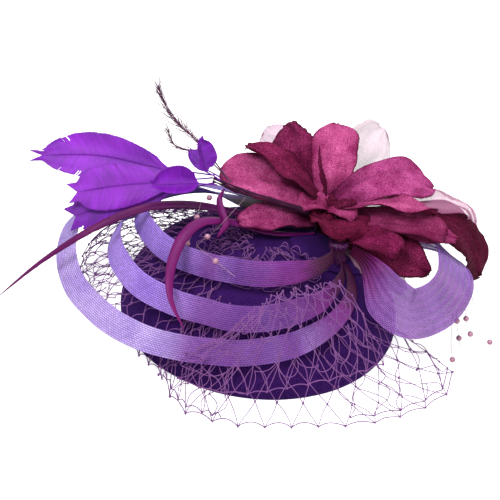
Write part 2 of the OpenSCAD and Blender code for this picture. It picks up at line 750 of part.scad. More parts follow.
module front_clip_pad() { clip_pad(front_az); }
module front_clip_fixed_arm() { clip_fixed_arm(front_az); }
module front_clip_moving_arm() { clip_moving_arm(front_az); }
module front_clip_pin() { clip_pin(front_az); }
module front_clip_spring() { clip_spring(front_az); }
module back_clip_pad() { clip_pad(back_az); }
module back_clip_fixed_arm() { clip_fixed_arm(back_az); }
module back_clip_moving_arm() { clip_moving_arm(back_az); }
module back_clip_pin() { clip_pin(back_az); }
module back_clip_spring() { clip_spring(back_az); }

felt_base();
rim_ribbon();
rim_wire();
backing_patch();
flower_pad();
flower_core();
ribbon_knot();
crin_loop_outer();
crin_loop_middle();
crin_loop_inner();
crin_bow_loop();
petal_left_long();
petal_left_low();
petal_back_left();
petal_back_ruffled();
petal_back_tall();
petal_right_high();
petal_right_fold();
petal_right_low();
petal_right_tuck();
petal_far_right();
petal_front();
petal_front_low();
petal_in_bow();
sheer_petal_left();
sheer_petal_back();
sheer_petal_right();
sheer_petal_low();
stem_bundle();
goose_feather_upper();
goose_feather_middle();
goose_feather_lower();
curled_feather_low();
curled_feather_tall();
curled_feather_short();
plume_tall();
plume_short();
biot_long();
biot_front();
biot_curl();
bead_wire_left();
pearls_left();
bead_wire_right();
pearls_right();
veil();
veil_overlay();
front_clip_pad();
front_clip_fixed_arm();
front_clip_moving_arm();
front_clip_pin();
front_clip_spring();
back_clip_pad();
back_clip_fixed_arm();
back_clip_moving_arm();
back_clip_pin();
back_clip_spring();
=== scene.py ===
import math
import random

import bpy
import numpy as np
from mathutils import Matrix, Vector, noise


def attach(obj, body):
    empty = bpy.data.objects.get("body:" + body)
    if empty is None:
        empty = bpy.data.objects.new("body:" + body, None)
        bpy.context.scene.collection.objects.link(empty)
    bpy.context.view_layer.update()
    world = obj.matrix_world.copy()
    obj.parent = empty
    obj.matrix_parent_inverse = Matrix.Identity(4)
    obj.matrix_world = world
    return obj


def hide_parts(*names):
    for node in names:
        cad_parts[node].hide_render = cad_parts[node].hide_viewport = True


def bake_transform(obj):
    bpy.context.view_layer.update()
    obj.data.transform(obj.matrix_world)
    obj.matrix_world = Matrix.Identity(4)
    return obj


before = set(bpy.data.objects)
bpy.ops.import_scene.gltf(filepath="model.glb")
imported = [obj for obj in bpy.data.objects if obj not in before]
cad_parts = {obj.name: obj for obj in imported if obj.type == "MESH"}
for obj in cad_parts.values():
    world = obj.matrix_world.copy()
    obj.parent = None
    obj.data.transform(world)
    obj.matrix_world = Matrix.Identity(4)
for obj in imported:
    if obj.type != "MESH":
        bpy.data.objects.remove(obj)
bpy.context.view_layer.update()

MM = 0.001
BODY = "hat"


class Nodes:
    """Shader nodes that are added to a tree one by one."""

    def __init__(self, tree):
        self.tree = tree

    def feed(self, socket, value):
        """Links the socket to another one, or sets its value."""
        if isinstance(value, bpy.types.NodeSocket):
            self.tree.links.new(value, socket)
        else:
            socket.default_value = value

    def add(self, kind, props=None, **inputs):
        """A node. An underscore in an input's name stands for a space."""
        n = self.tree.nodes.new(kind)
        for key, value in (props or {}).items():
            setattr(n, key, value)
        for key, value in inputs.items():
            self.feed(n.inputs[key.replace("_", " ")], value)
        return n

    def maths(self, kind, *values):
        n = self.add("ShaderNodeMath", dict(operation=kind))
        for socket, value in zip(n.inputs, values):
            self.feed(socket, value)
        return n.outputs[0]


# ---------- camera, floor and light ----------

ELEVATION, ROLL = math.radians(35), math.radians(6)
EYE_AT = Vector((-0.00858, -0.5663, 0.4378))
FLOOR_SIZE, FLOOR_GREY, FLOOR_GLOW = 6, 0.85, 0.72
WORLD_LIGHT = 0.42
LIT_POINT = Vector((0, 0, 0.04))
# name, place, size, power
LAMPS = [("key", (-0.45, -0.6, 1.2), 0.55, 12), ("fill", (0.9, -0.7, 0.6), 0.8, 4),
         ("top", (0.1, 0.5, 1.2), 0.7, 7)]


def place_object(name, data, matrix):
    o = bpy.data.objects.new(name, data)
    o.matrix_world = matrix
    bpy.context.scene.collection.objects.link(o)
    return o


def add_camera():
    data = bpy.data.cameras.new("camera")
    data.lens, data.sensor_width, data.clip_start = 85, 36, 0.01
    flat_right, flat_up = Vector((1, 0, 0)), Vector((0, math.sin(ELEVATION), math.cos(ELEVATION)))
    right = flat_right * math.cos(ROLL) + flat_up * math.sin(ROLL)
    up = flat_up * math.cos(ROLL) - flat_right * math.sin(ROLL)
    turn = Matrix((right, up, right.cross(up))).transposed().to_4x4()
    bpy.context.scene.camera = place_object("camera", data, Matrix.Translation(EYE_AT) @ turn)


def add_lamp(name, place, size, power):
    data = bpy.data.lights.new(name, "AREA")
    data.shape, data.size, data.energy = "DISK", size, power
    place = Vector(place)
    turn = (place - LIT_POINT).to_track_quat("Z", "Y").to_matrix().to_4x4()
    place_object(name, data, Matrix.Translation(place) @ turn)


def add_world():
    """White wherever it is seen, directly or by reflection, and dimmer as a light."""
    world = bpy.data.worlds.new("world")
    world.use_nodes = True
    nodes = Nodes(world.node_tree)
    rays = nodes.add("ShaderNodeLightPath").outputs
    seen = nodes.maths("MAXIMUM", rays["Is Camera Ray"], rays["Is Glossy Ray"])
    seen = nodes.maths("MAXIMUM", seen, rays["Is Transmission Ray"])
    shade = nodes.tree.nodes["Background"]
    nodes.feed(shade.inputs["Color"], (1, 1, 1, 1))
    nodes.feed(shade.inputs["Strength"],
               nodes.maths("MULTIPLY_ADD", seen, 1 - WORLD_LIGHT, WORLD_LIGHT))
    bpy.context.scene.world = world


def add_floor():
    """A pale floor that glows a little towards the camera only."""
    bpy.ops.mesh.primitive_plane_add(size=FLOOR_SIZE, location=(0, 0, 0))
    floor = bpy.context.object
    floor.name = "floor"
    m = bpy.data.materials.new("floor")
    m.use_nodes = True
    m.node_tree.nodes.clear()
    nodes = Nodes(m.node_tree)
    seen = nodes.add("ShaderNodeLightPath").outputs["Is Camera Ray"]
    diffuse = nodes.add("ShaderNodeBsdfDiffuse", Color=(FLOOR_GREY, FLOOR_GREY, FLOOR_GREY, 1))
    glow = nodes.add("ShaderNodeEmission", Strength=nodes.maths("MULTIPLY", seen, FLOOR_GLOW))
    both = nodes.add("ShaderNodeAddShader")
    nodes.feed(both.inputs[0], diffuse.outputs[0])
    nodes.feed(both.inputs[1], glow.outputs[0])
    nodes.add("ShaderNodeOutputMaterial", Surface=both.outputs[0])
    floor.data.materials.append(m)


add_camera()
add_floor()
add_world()
for lamp in LAMPS:
    add_lamp(*lamp)
bpy.context.scene.view_settings.view_transform = "Standard"

# ---------- materials ----------

WHITE = (255, 255, 255)
STREAK_SHADE = (225, 215, 235)


def rgba(c):
    """A colour of 0 to 255 as Blender's linear colour."""
    parts = (v / 255 for v in c)
    return (*(v / 12.92 if v <= 0.04045 else ((v + 0.055) / 1.055) ** 2.4 for v in parts), 1)


def scaled(colour, share):
    return [min(255, v * share) for v in colour]


class Paint(Nodes):
    """A Principled material."""

    def __init__(self, name, **values):
        self.m = bpy.data.materials.new(name)
        self.m.use_nodes = True
        super().__init__(self.m.node_tree)
        self.shader = self.tree.nodes["Principled BSDF"]
        self.coords = self.add("ShaderNodeTexCoord").outputs
        self.set(**values)

    def set(self, **values):
        for key, value in values.items():
            self.feed(self.shader.inputs[key.replace("_", " ")], value)

    def noise(self, scale, detail=4, rough=0.55, source="Object", stretch=None):
        vector = self.coords[source]
        if stretch:
            vector = self.add("ShaderNodeMapping", Vector=vector, Scale=stretch).outputs[0]
        return self.add("ShaderNodeTexNoise", Vector=vector, Scale=scale, Detail=detail,
                        Roughness=rough).outputs["Fac"]

    def ramp(self, fac, *stops):
        n = self.add("ShaderNodeValToRGB", Fac=fac)
        while len(n.color_ramp.elements) < len(stops):
            n.color_ramp.elements.new(0.5)
        for e, (at, colour) in zip(n.color_ramp.elements, stops):
            e.position, e.color = at, rgba(colour)
        return n.outputs["Color"]

    def mapped(self, fac, low, high, start=0.0, end=1.0):
        """start to end as low to high."""
        return self.add("ShaderNodeMapRange", Value=fac, From_Min=start, From_Max=end,
                        To_Min=low, To_Max=high).outputs[0]

    def multiply(self, a, b):
        n = self.add("ShaderNodeMix", dict(data_type="RGBA", blend_type="MULTIPLY"))
        for index, value in ((0, 1.0), (6, a), (7, b)):
            self.feed(n.inputs[index], value)
        return n.outputs[2]

    def tinted(self, base, shade=None):
        """Base colour: base times a drifting shade and the piece's tint, which on the petals,
        leaves, bud, knot and crin also carries painted shade.
        """
        if shade:
            base = self.multiply(base, shade)
        tint = self.add("ShaderNodeAttribute", dict(attribute_name="tint")).outputs["Color"]
        self.set(Base_Color=self.multiply(base, tint))

    def bump(self, height, depth, strength):
        n = self.add("ShaderNodeBump", Height=height, Distance=depth, Strength=strength)
        self.set(Normal=n.outputs[0])


def felt(name, low, high, sheen=0.35):
    p = Paint(name, Roughness=0.95, Sheen_Weight=sheen, Sheen_Roughness=0.45,
              Sheen_Tint=rgba((120, 70, 180)), Specular_IOR_Level=0.1)
    fibres, cloud = p.noise(900, 6, 0.7, stretch=(1, 1, 0.5)), p.noise(38, 3)
    p.tinted(p.ramp(fibres, (0.3, low), (0.7, high)),
             p.ramp(cloud, (0.3, (215, 215, 225)), (0.7, WHITE)))
    p.bump(p.maths("ADD", fibres, p.maths("MULTIPLY", cloud, 1.5)), 0.0006, 0.6)
    return p.m


def crin(name, thread, gap, alpha_gap, row=1.05, dash=1.7):
    """Woven crin: rows of short dashes. Its UVs are in millimetres."""
    p = Paint(name, Roughness=0.42, Specular_IOR_Level=0.35)
    weave = p.add("ShaderNodeTexBrick", dict(offset=0.5, offset_frequency=2),
                  Vector=p.coords["UV"], Scale=1, Brick_Width=dash, Row_Height=row,
                  Mortar_Size=0.17, Mortar_Smooth=0.6, Color1=rgba(thread),
                  Color2=rgba(scaled(thread, 1.12)), Mortar=rgba(gap)).outputs
    p.tinted(weave["Color"], p.ramp(p.noise(55, 2), (0.35, (225, 215, 240)), (0.65, WHITE)))
    p.bump(p.maths("SUBTRACT", 1.0, weave["Fac"]), 0.00018, 0.8)
    p.set(Alpha=p.mapped(weave["Fac"], 1.0, alpha_gap))
    return p.m


def petal_cloth(name, dark, mid, light):
    p = Paint(name, Roughness=0.8, Specular_IOR_Level=0.08)
    speck, cloud = p.noise(1700, 2, 0.6), p.noise(75, 4, 0.6)
    p.tinted(p.ramp(speck, (0.34, dark), (0.5, mid), (0.68, light)),
             p.ramp(cloud, (0.35, (192, 140, 176)), (0.65, WHITE)))
    veins = p.noise(1.0, 3, 0.6, "UV", (0.04, 0.7, 1))
    p.bump(p.maths("ADD", p.maths("MULTIPLY", speck, 0.4), veins), 0.0007, 0.9)
    return p.m


def organza(name, colour, alpha):
    p = Paint(name, Roughness=0.4, Specular_IOR_Level=0.3)
    creases = p.noise(240, 5, 0.75, "UV", (0.03, 0.09, 1))
    p.tinted(p.ramp(creases, (0.4, scaled(colour, 0.86)), (0.6, colour)))
    p.set(Alpha=p.mapped(creases, alpha, min(1, alpha + 0.4), 0.4, 0.75))
    p.bump(creases, 0.0004, 0.8)
    return p.m


def streaked(name, dark, light, rough=0.5, across=6.0, depth=0.0002, gloss=0.2):
    """Feather or thread: fine streaks that run along the UV's second direction."""
    p = Paint(name, Roughness=rough, Specular_IOR_Level=gloss)
    streaks = p.noise(1.0, 5, 0.7, "UV", (across, 0.25, 1))
    p.tinted(p.ramp(streaks, (0.3, dark), (0.7, light)),
             p.ramp(p.noise(45, 2), (0.3, STREAK_SHADE), (0.7, WHITE)))
    p.bump(streaks, depth, 0.8)
    return p.m


def steel(name, colour, low, high):
    p = Paint(name, Metallic=1.0)
    scratches = p.noise(1.0, 4, 0.6, "Object", (150, 2500, 2500))
    p.set(Base_Color=p.ramp(scratches, (0.3, scaled(colour, 0.85)), (0.7, colour)),
          Roughness=p.mapped(scratches, low, high))
    p.bump(scratches, 0.00003, 0.5)
    return p.m


def pearl(name, colour):
    p = Paint(name, Roughness=0.22, Coat_Weight=0.6, Coat_Roughness=0.08)
    cloud = p.noise(420, 2)
    p.set(Base_Color=p.ramp(cloud, (0.3, scaled(colour, 0.88)), (0.7, colour)))
    p.bump(cloud, 0.00004, 0.4)
    return p.m


# Each look's name is also the slot of the pieces that wear it.
PINK, DARK = "pink_petal", "dark_petal"
LOOKS = {name: kind(name, *values) for name, kind, *values in (
    ("felt", felt, (34, 8, 66), (68, 26, 106)),
    ("dark_felt", felt, (16, 12, 22), (38, 30, 48), 0.15),
    ("petersham", streaked, (24, 10, 48), (44, 20, 80), 0.7, 3.0),
    ("crin", crin, (176, 142, 228), (124, 84, 184), 0.8),
    ("bow_crin", crin, (180, 128, 212), (122, 68, 168), 0.5, 0.85, 1.1),
    (PINK, petal_cloth, (156, 48, 106), (202, 85, 147), (230, 138, 182)),
    (DARK, petal_cloth, (74, 8, 40), (114, 20, 62), (164, 58, 102)),
    ("organza", organza, (240, 200, 222), 0.34),
    ("wrapped_stem", streaked, (40, 10, 30), (96, 34, 78), 0.6, 8.0),
    ("goose_feather", streaked, (108, 18, 164), (160, 44, 208), 0.45, 5.0, 0.0002, 0.3),
    ("plume", streaked, (78, 36, 62), (132, 84, 116), 0.6),
    ("biot", streaked, (84, 2, 72), (136, 12, 116), 0.45, 3.0, 0.0001),
    ("net", streaked, (118, 70, 128), (156, 102, 164), 0.7, 2.0),
    ("bead_wire", steel, (170, 140, 155), 0.3, 0.5),
    ("rim_steel", steel, (190, 190, 195), 0.25, 0.45),
    ("clip_steel", steel, (205, 205, 208), 0.2, 0.38),
    ("pearl", pearl, (190, 128, 156)))}

# ---------- shared geometry, in millimetres ----------

UPRIGHT = (0, 0, 1)
FRONTWARD = (0, -1, 0)


def clamp(x):
    return min(1, max(0, x))


def mixed(a, b, share):
    return np.asarray(a) * (1 - share) + np.asarray(b) * share


def drift(*at):
    """Smooth noise, about -1 to 1."""
    return noise.noise(Vector(at))


def unit(v):
    v = np.asarray(v, float)
    return v / np.linalg.norm(v)


def units(rows):
    return rows / np.linalg.norm(rows, axis=1)[:, None]


def smooth_curve(points, steps):
    """Curve through the points, as part.scad draws it."""
    p = [np.array(q, float) for q in points]
    out = []
    for i in range(len(p) - 1):
        a, b, c, d = p[max(i - 1, 0)], p[i], p[i + 1], p[min(i + 2, len(p) - 1)]
        for j in range(steps):
            t = j / steps
            out.append(0.5 * (2 * b + (c - a) * t + (2 * a - 5 * b + 4 * c - d) * t * t
                              + (3 * b - a - 3 * c + d) * t ** 3))
    return np.array(out + [p[-1]])


def spaced(line, n):
    """n + 1 points at equal steps along a line."""
    line = np.asarray(line, float)
    run = np.concatenate([[0], np.cumsum(np.linalg.norm(np.diff(line[:, :3], axis=0), axis=1))])
    at = np.linspace(0, run[-1], n + 1)
    return np.stack([np.interp(at, run, line[:, k]) for k in range(line.shape[1])], axis=1)


def directions(line):
    return units(np.gradient(line[:, :3], axis=0))


def grid_faces(rows, cols, wrap=False):
    n = cols if wrap else cols + 1
    return [(i * n + j, i * n + (j + 1) % n, (i + 1) * n + (j + 1) % n, (i + 1) * n + j)
            for i in range(rows) for j in range(cols)]


def shade_smooth(mesh):
    mesh.polygons.foreach_set("use_smooth", [True] * len(mesh.polygons))


def make(name, verts, faces, look, replaces=(), uv=None, tint=None, thick=0, body=BODY,
         lining=None):
    """A smooth mesh piece that rides on a body. verts and uv are in millimetres."""
    mesh = bpy.data.meshes.new(name)
    mesh.from_pydata((np.asarray(verts, float) * MM).tolist(), [], faces)
    for each in filter(None, (look, lining)):
        mesh.materials.append(LOOKS[each])
    shade_smooth(mesh)
    if uv is not None:
        loops = np.empty(len(mesh.loops), dtype=int)
        mesh.loops.foreach_get("vertex_index", loops)
        layer = mesh.uv_layers.new(name="UVMap")
        layer.data.foreach_set("uv", np.asarray(uv, float)[loops].ravel())
    colours = np.ones((len(mesh.vertices), 4))
    if tint is not None:
        colours[:, :3] = tint
    mesh.attributes.new("tint", "FLOAT_COLOR", "POINT").data.foreach_set("color", colours.ravel())
    mesh.validate()
    mesh.update()
    piece = bpy.data.objects.new(name, mesh)
    bpy.context.scene.collection.objects.link(piece)
    if thick:
        solid = piece.modifiers.new("thickness", "SOLIDIFY")
        solid.thickness, solid.offset = thick * MM, 0
        if lining:
            solid.material_offset, solid.material_offset_rim = 1, 1
    if body:
        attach(piece, body)
    if replaces:
        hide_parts(*replaces)
    return piece


TUBE_HINT = (0.3, 0.8, -0.52)


def tubes(lines, radius, sides=6, taper=1.0):
    """Vertices, faces and UVs of closed round tubes. radius may be one value per line."""
    verts, faces, uvs = [], [], []
    for k, line in enumerate(lines):
        line = np.asarray(line, float)
        r0 = radius[k] if hasattr(radius, "__len__") else radius
        d = directions(line)
        a = units(np.cross(d, TUBE_HINT))
        b = np.cross(a, d)
        start, n = len(verts), len(line)
        for i in range(n):
            r = r0 * (1 + (taper - 1) * i / max(1, n - 1))
            for s in range(sides):
                t = 2 * math.pi * s / sides
                verts.append(line[i] + r * (a[i] * math.cos(t) + b[i] * math.sin(t)))
                uvs.append((i * 2.0, s))
        for i in range(n - 1):
            for s in range(sides):
                one, two = (start + i * sides + k for k in (s, (s + 1) % sides))
                faces.append((one, one + sides, two + sides, two))
        faces.append(tuple(start + s for s in range(sides)))
        faces.append(tuple(start + (n - 1) * sides + s for s in reversed(range(sides))))
    return verts, faces, uvs


def tube_piece(name, lines, radius, sides, look, replaces=(), tint=None, taper=1.0):
    verts, faces, uvs = tubes(lines, radius, sides, taper)
    return make(name, verts, faces, look, replaces, uvs, tint)


def blade_frames(route, n, roll, hint):
    """Middle line, its directions, and the blade's width and height directions."""
    line = spaced(smooth_curve(route, 6), n)
    d = directions(line)
    a0 = units(np.cross(d, hint))
    b0 = np.cross(a0, d)
    t = np.radians(roll)
    return line, d, a0 * math.cos(t) + b0 * math.sin(t), b0 * math.cos(t) - a0 * math.sin(t)


# ---------- felt base and what lies on it ----------

RIM_R, DOME_H, SHOULDER, FELT_T = 83, 46, 2.15, 3
INNER_R, INNER_H = RIM_R - FELT_T, DOME_H - FELT_T


def dome_z(d, r, h):
    return 0.0 if d >= r else h * (1 - (d / r) ** SHOULDER) ** (1 / SHOULDER)


def dome_x(z, r, h):
    return r * (1 - (z / h) ** SHOULDER) ** (1 / SHOULDER)


def outline(r, h, n):
    return [(r * math.sin(t) ** (2 / SHOULDER), h * max(0, math.cos(t)) ** (2 / SHOULDER))
            for t in (math.pi / 2 * i / n for i in range(n + 1))]


def lathe(profile, around, wobble=0.0):
    verts, uvs = [], []
    for i, (r, z) in enumerate(profile):
        for j in range(around):
            t = 2 * math.pi * j / around
            w = wobble * drift(3 * math.cos(t), 3 * math.sin(t), z / 14)
            verts.append(((r + w) * math.cos(t), (r + w) * math.sin(t), max(0, z)))
            uvs.append((j * 2 * math.pi * max(r, 1) / around, i))
    return verts, grid_faces(len(profile) - 1, around, wrap=True), uvs


def felt_shell():
    around, top_r = 160, 0.4
    outer = outline(RIM_R, DOME_H, 44)[1:]
    inner = outline(INNER_R, INNER_H, 30)[1:]
    rim = [(RIM_R - 0.15, 0.35), (RIM_R - 0.6, 0.02), (INNER_R + 0.6, 0.02), (INNER_R + 0.15, 0.35)]
    profile = [(top_r, DOME_H), *outer[:-1], *rim, *inner[::-1][1:], (top_r, INNER_H)]
    verts, faces, uvs = lathe(profile, around, 0.25)
    last = (len(profile) - 1) * around
    faces += [tuple(range(around))[::-1], tuple(range(last, last + around))]
    make("felt_shell", verts, faces, "felt", ("felt_base",), uvs)


felt_shell()


FLOWER_FOOT, PAD_R, PAD_T, PAD_GAP = (38, 10), 24, 2, 0.3
PATCH_R, PATCH_T, PATCH_GAP, STITCH_R = 22, 1.5, 1.8, 20


def dome_patch(name, r, h, thick, radius, look, replaces):
    """A round patch that follows a dome, with a rounded edge."""
    rows, around, rounding = 14, 72, 1.2
    verts = []
    for side in (1, 0):
        for i in range(rows + 1):
            for j in range(around):
                q = radius * (i / rows if side else (rows - i) / rows)
                t = 2 * math.pi * j / around
                x, y = FLOWER_FOOT[0] + q * math.cos(t), FLOWER_FOOT[1] + q * math.sin(t)
                d = math.hypot(x, y)
                soft = min(1, (radius - q) / rounding) ** 0.5 if q > radius - rounding else 1
                lift = thick * (0.5 + (0.5 if side else -0.5) * max(0.25, soft))
                verts.append((x, y, dome_z(d, r + lift, h + lift)))
    faces = grid_faces(2 * rows + 1, around, wrap=True)
    make(name, verts, faces, look, replaces)


dome_patch("flower_pad_felt", RIM_R + PAD_GAP, DOME_H + PAD_GAP, PAD_T, PAD_R, "felt",
           ("flower_pad",))
dome_patch("backing_felt", INNER_R - PATCH_GAP, INNER_H - PATCH_GAP, PATCH_T, PATCH_R, "dark_felt",
           ("backing_patch",))


def band_inside():
    """Grosgrain band inside the rim, with its ribs across it."""
    z0, high, thick, gap, around = 2.2, 9, 0.8, 0.35, 720
    rows = [(0, 0), (0, 0.5), (0, 1)] + [(thick, share) for share in (1, 0.75, 0.5, 0.25, 0)]
    verts, uvs = [], []
    for depth, share in rows:
        z = z0 + high * share
        r = dome_x(z, INNER_R - gap, INNER_H - gap) - depth
        for j in range(around):
            t = 2 * math.pi * j / around
            rib = (0.12 if j % 4 < 2 else -0.05) if depth else 0
            verts.append(((r - rib) * math.cos(t), (r - rib) * math.sin(t), z))
            uvs.append((j * 0.7, share * high))
    faces, last = grid_faces(len(rows) - 1, around, wrap=True), (len(rows) - 1) * around
    faces += [(last + j, last + (j + 1) % around, (j + 1) % around, j) for j in range(around)]
    make("petersham_band", verts, faces, "petersham", ("rim_ribbon",), uvs)


band_inside()


def backing_stitches():
    """Running stitches round the backing patch, each a short sunk thread."""
    step, rise = 4.5, ((0.1, -0.3), (0.2, 0.1), (0.5, 0.25), (0.8, 0.1), (0.9, -0.3))
    ring = []
    for t in np.linspace(0, 2 * math.pi, 121):
        x, y = (c + STITCH_R * f(t) for c, f in zip(FLOWER_FOOT, (math.cos, math.sin)))
        ring.append((x, y, dome_z(math.hypot(x, y), INNER_R - PATCH_GAP, INNER_H - PATCH_GAP)))
    line = spaced(ring, int(np.linalg.norm(np.diff(ring, axis=0), axis=1).sum() / step))
    threads = []
    for a, b in zip(line[:-1], line[1:]):
        down = unit((a + b) / 2 * (-1, -1, -2))
        threads.append([a + (b - a) * along + down * h for along, h in rise])
    tube_piece("backing_stitches", threads, 0.22, 6, "petersham")


backing_stitches()

# ---------- crin ribbons ----------

CRIN_W, BOW_W, CRIN_T, GATHERED_W = 14.5, 28, 0.8, 6
OUTER = [[47.2, -7.8, 43.8, 60], [50.5, -18, 42, 60], [51, -30, 39.5, 62], [47, -43, 37, 62],
         [37, -57, 34, 60], [19, -71, 31, 52], [-6, -79, 29, 50], [-26, -80, 28.5, 50],
         [-43, -79, 28.5, 50], [-61, -75, 29, 50], [-80, -65, 30, 50], [-95, -51, 31, 50],
         [-105, -38, 32, 50], [-113, -19, 34, 50], [-116, 0, 36, 50], [-114, 20, 38, 50],
         [-103, 38, 40, 50], [-87, 52, 41.5, 50], [-63, 61, 43, 55], [-36, 60, 44.5, 65],
         [-8, 49, 46, 75], [28, 28.5, 45.8, 85]]
MIDDLE = [[43, -10, 49, 30], [45, -20, 49, 28], [43.5, -31, 48.5, 28], [34, -48, 46.5, 28],
          [18, -60, 45, 28], [1, -66, 43, 30], [-16, -67, 42.5, 30], [-28, -64, 42.5, 30],
          [-46, -59, 42.5, 30], [-65, -48.5, 43, 30], [-77, -35, 44, 30], [-85, -19, 45, 30],
          [-87, -4, 46, 30], [-84, 12, 46.5, 30], [-75, 28, 47, 30], [-62, 40, 48, 35],
          [-44, 46, 49, 45], [-22, 43, 49.5, 65], [2, 34, 49, 80], [27.3, 25, 48.4, 86]]
INNER = [[37, -9, 53, 20], [38, -17, 56.5, 20], [36, -25, 57.5, 22], [28, -33, 56.5, 24],
         [15, -38, 55.5, 25], [-2, -41, 54.5, 25], [-19, -40, 54.5, 25], [-31, -38, 54.5, 25],
         [-47, -32, 54.5, 25], [-60, -22, 55, 25], [-69, -9, 55.5, 25], [-74, 4, 56, 25],
         [-73, 16, 56.5, 25], [-65, 27, 57, 30], [-51, 34, 57, 40], [-34, 34, 56.5, 55],
         [-14, 28, 54.5, 75], [6, 24, 52, 85], [27.3, 23, 50.9, 89]]
BOW = [[50, -1.5, 50, 15], [58, -12, 50, 20], [64, -25, 48, 26], [71, -37, 44, 34],
       [84, -44, 40.5, 38], [99, -34, 40, 42], [109, -17, 40, 47], [113, 1, 41, 56],
       [110, 18, 41.5, 50], [102, 31, 41, 32], [89, 36, 41, 24], [71, 33, 42, 40], [56, 28, 44, 65],
       [40.9, 25, 45, 86]]


def ease(u, share):
    t = np.minimum(1, u / share)
    return t * t * (3 - 2 * t)


def fade(x, near, far):
    """1 up to near, 0 from far on."""
    t = clamp((far - x) / (far - near))
    return t * t * (3 - 2 * t)


def ribbon_surface(route, width, turn, n):
    """Middle line, edge vector and outward normal at n + 1 steps."""
    fine = spaced(smooth_curve(route, 12), n)
    lean = np.radians(fine[:, 3])[:, None]
    c = fine[:, :3]
    d = directions(c)
    side = units(np.cross(d, UPRIGHT))
    up = np.cross(side, d)
    u = np.linspace(0, 1, n + 1)
    w = GATHERED_W + (width - GATHERED_W) * ease(np.minimum(u, 1 - u), 0.2)
    edge = (up * np.cos(lean) + turn * side * np.sin(lean)) * w[:, None] / 2
    out = turn * up * np.sin(lean) - side * np.cos(lean)
    return c, edge, out, w


# dye and painted shadow: colour against the plain ribbon, and how far it runs in from an end, full
# and faded out; the two end colours are dark dye with painted shadow near the knot
PINK_DYE, MAGENTA_DYE = (0.52, 0.23, 0.44), (0.64, 0.1, 0.36)
FIRST_END_DYE_AND_SHADOW, LAST_END_DYE_AND_SHADOW, LAST_RUN = (0.24, 0.0, 0.07), (0.13, 0.015, 0.06), (40, 66)
LOOP_DYE_AND_SHADOW = dict(first_run=(22, 42), magenta_run=(34, 72), pinkness=1)
BOW_DYE_AND_SHADOW = dict(first_run=(8, 26), magenta_run=(14, 44), pinkness=0.5)
RIB_COLS = 4


def ribbon(name, node, route, width, turn, look, ribs, first_run, magenta_run, pinkness,
           pale=(1, 1, 1), n=300):
    """Ribbon with its ribs as real ridges. Dark dye with painted shadow runs in from both ends, and
    the strands at the back are darkened as painted shade.
    """
    c, edge, out, w = ribbon_surface(route, width, turn, n)
    cols = ribs * RIB_COLS
    length = np.concatenate([[0], np.cumsum(np.linalg.norm(np.diff(c, axis=0), axis=1))])

    def dye_and_shade(i, j, v):
        x, y = c[i][:2]
        blur = 5 * drift(v * 3, length[i] / 9, width)
        run, to_end = length[i] + blur, length[-1] - length[i] + blur
        pink = fade(-x, 28, 62) * clamp(0.5 - y / 20) * (1 + 0.45 * drift(*(c[i] / 14)))
        # strands at the back are darkened: painted shade
        far = clamp((y + 10) / 50) * 0.35
        base = mixed(pale, PINK_DYE, min(1, max(0, pink) * pinkness))
        base *= 1 - far * np.array([0.9, 1.0, 0.5])
        first, last = fade(run, *first_run), fade(to_end, *LAST_RUN)
        base = mixed(base, MAGENTA_DYE, fade(run, *magenta_run))
        # the dark colours at both ends are dye with painted shadow near the knot in them
        base = mixed(mixed(base, FIRST_END_DYE_AND_SHADOW, first), LAST_END_DYE_AND_SHADOW, last)
        stripe = 1 - 0.45 * max(first, last) * (j % (2 * RIB_COLS) < 2)
        return base * (stripe - 0.1 * drift(length[i] / 2.2, v * 4, 2))

    verts, uvs, tint = [], [], []
    for i in range(n + 1):
        for j in range(cols + 1):
            v = 2 * j / cols - 1
            ridge = 0.11 * math.cos(2 * math.pi * j / RIB_COLS) * (width / w[i]) ** 0.8
            curl = 0.5 * (1 - v * v)
            wave = 0.35 * math.sin(length[i] / 17 + 2 * v)
            verts.append(c[i] + edge[i] * v + out[i] * (ridge + curl + wave * v * v))
            uvs.append((length[i], (v + 1) / 2 * ribs * 1.05))
            tint.append(dye_and_shade(i, j, v))
    piece = make(name, verts, grid_faces(n, cols), look, (node,), uvs, tint, 0.35)


for key, route, pale in (("outer", OUTER, (1.22, 1.5, 0.98)), ("middle", MIDDLE, (1, 1, 1)),
                         ("inner", INNER, (1, 1, 1))):
    ribbon("ribbon_" + key, "crin_loop_" + key, route, CRIN_W, 1, "crin", 13, **LOOP_DYE_AND_SHADOW, pale=pale)
ribbon("ribbon_bow", "crin_bow_loop", BOW, BOW_W, -1, "bow_crin", 26, **BOW_DYE_AND_SHADOW, n=220)


def knot():
    """The gathered ends of the crin, bound round with thread."""
    (x, y), low, high, around, rows = (42, -3), 43, 12, 64, 24
    verts, uvs = [], []
    for i in range(rows + 1):
        z = low + high * i / rows
        r = 5.4 * (1 - 0.35 * math.sin(math.pi * i / rows) ** 2)
        for j in range(around):
            t = 2 * math.pi * j / around
            q = r * (1 + 0.13 * math.cos(12 * t + z))
            verts.append((x + q * math.cos(t), y + q * math.sin(t), z))
            uvs.append((z * 2, t * 5))
    faces = grid_faces(rows, around, wrap=True)
    faces += [tuple(range(around))[::-1], tuple(range(rows * around, (rows + 1) * around))]
    # The tint is the ends' dark magenta dye together with painted shade under the flower.
    make("knot_gathers", verts, faces, "bow_crin", ("ribbon_knot",), uvs, (0.26, 0.04, 0.16))
    turns = [[x + 3.9 * math.cos(t), y + 3.9 * math.sin(t), low + 4.5 + t * 0.11]
             for t in np.linspace(0, 44, 420)]
    tube_piece("knot_thread", [turns], 0.32, 6, "wrapped_stem")


knot()

# ---------- flower ----------

CORE_AT, CORE_R, ROOT_GAP = np.array([34.0, 24.0]), 6, 0.9


def core_seat(to, z, gap=ROOT_GAP):
    d = unit(np.array(to[:2]) - CORE_AT)
    return np.array([*(CORE_AT + d * (CORE_R + gap)), z])


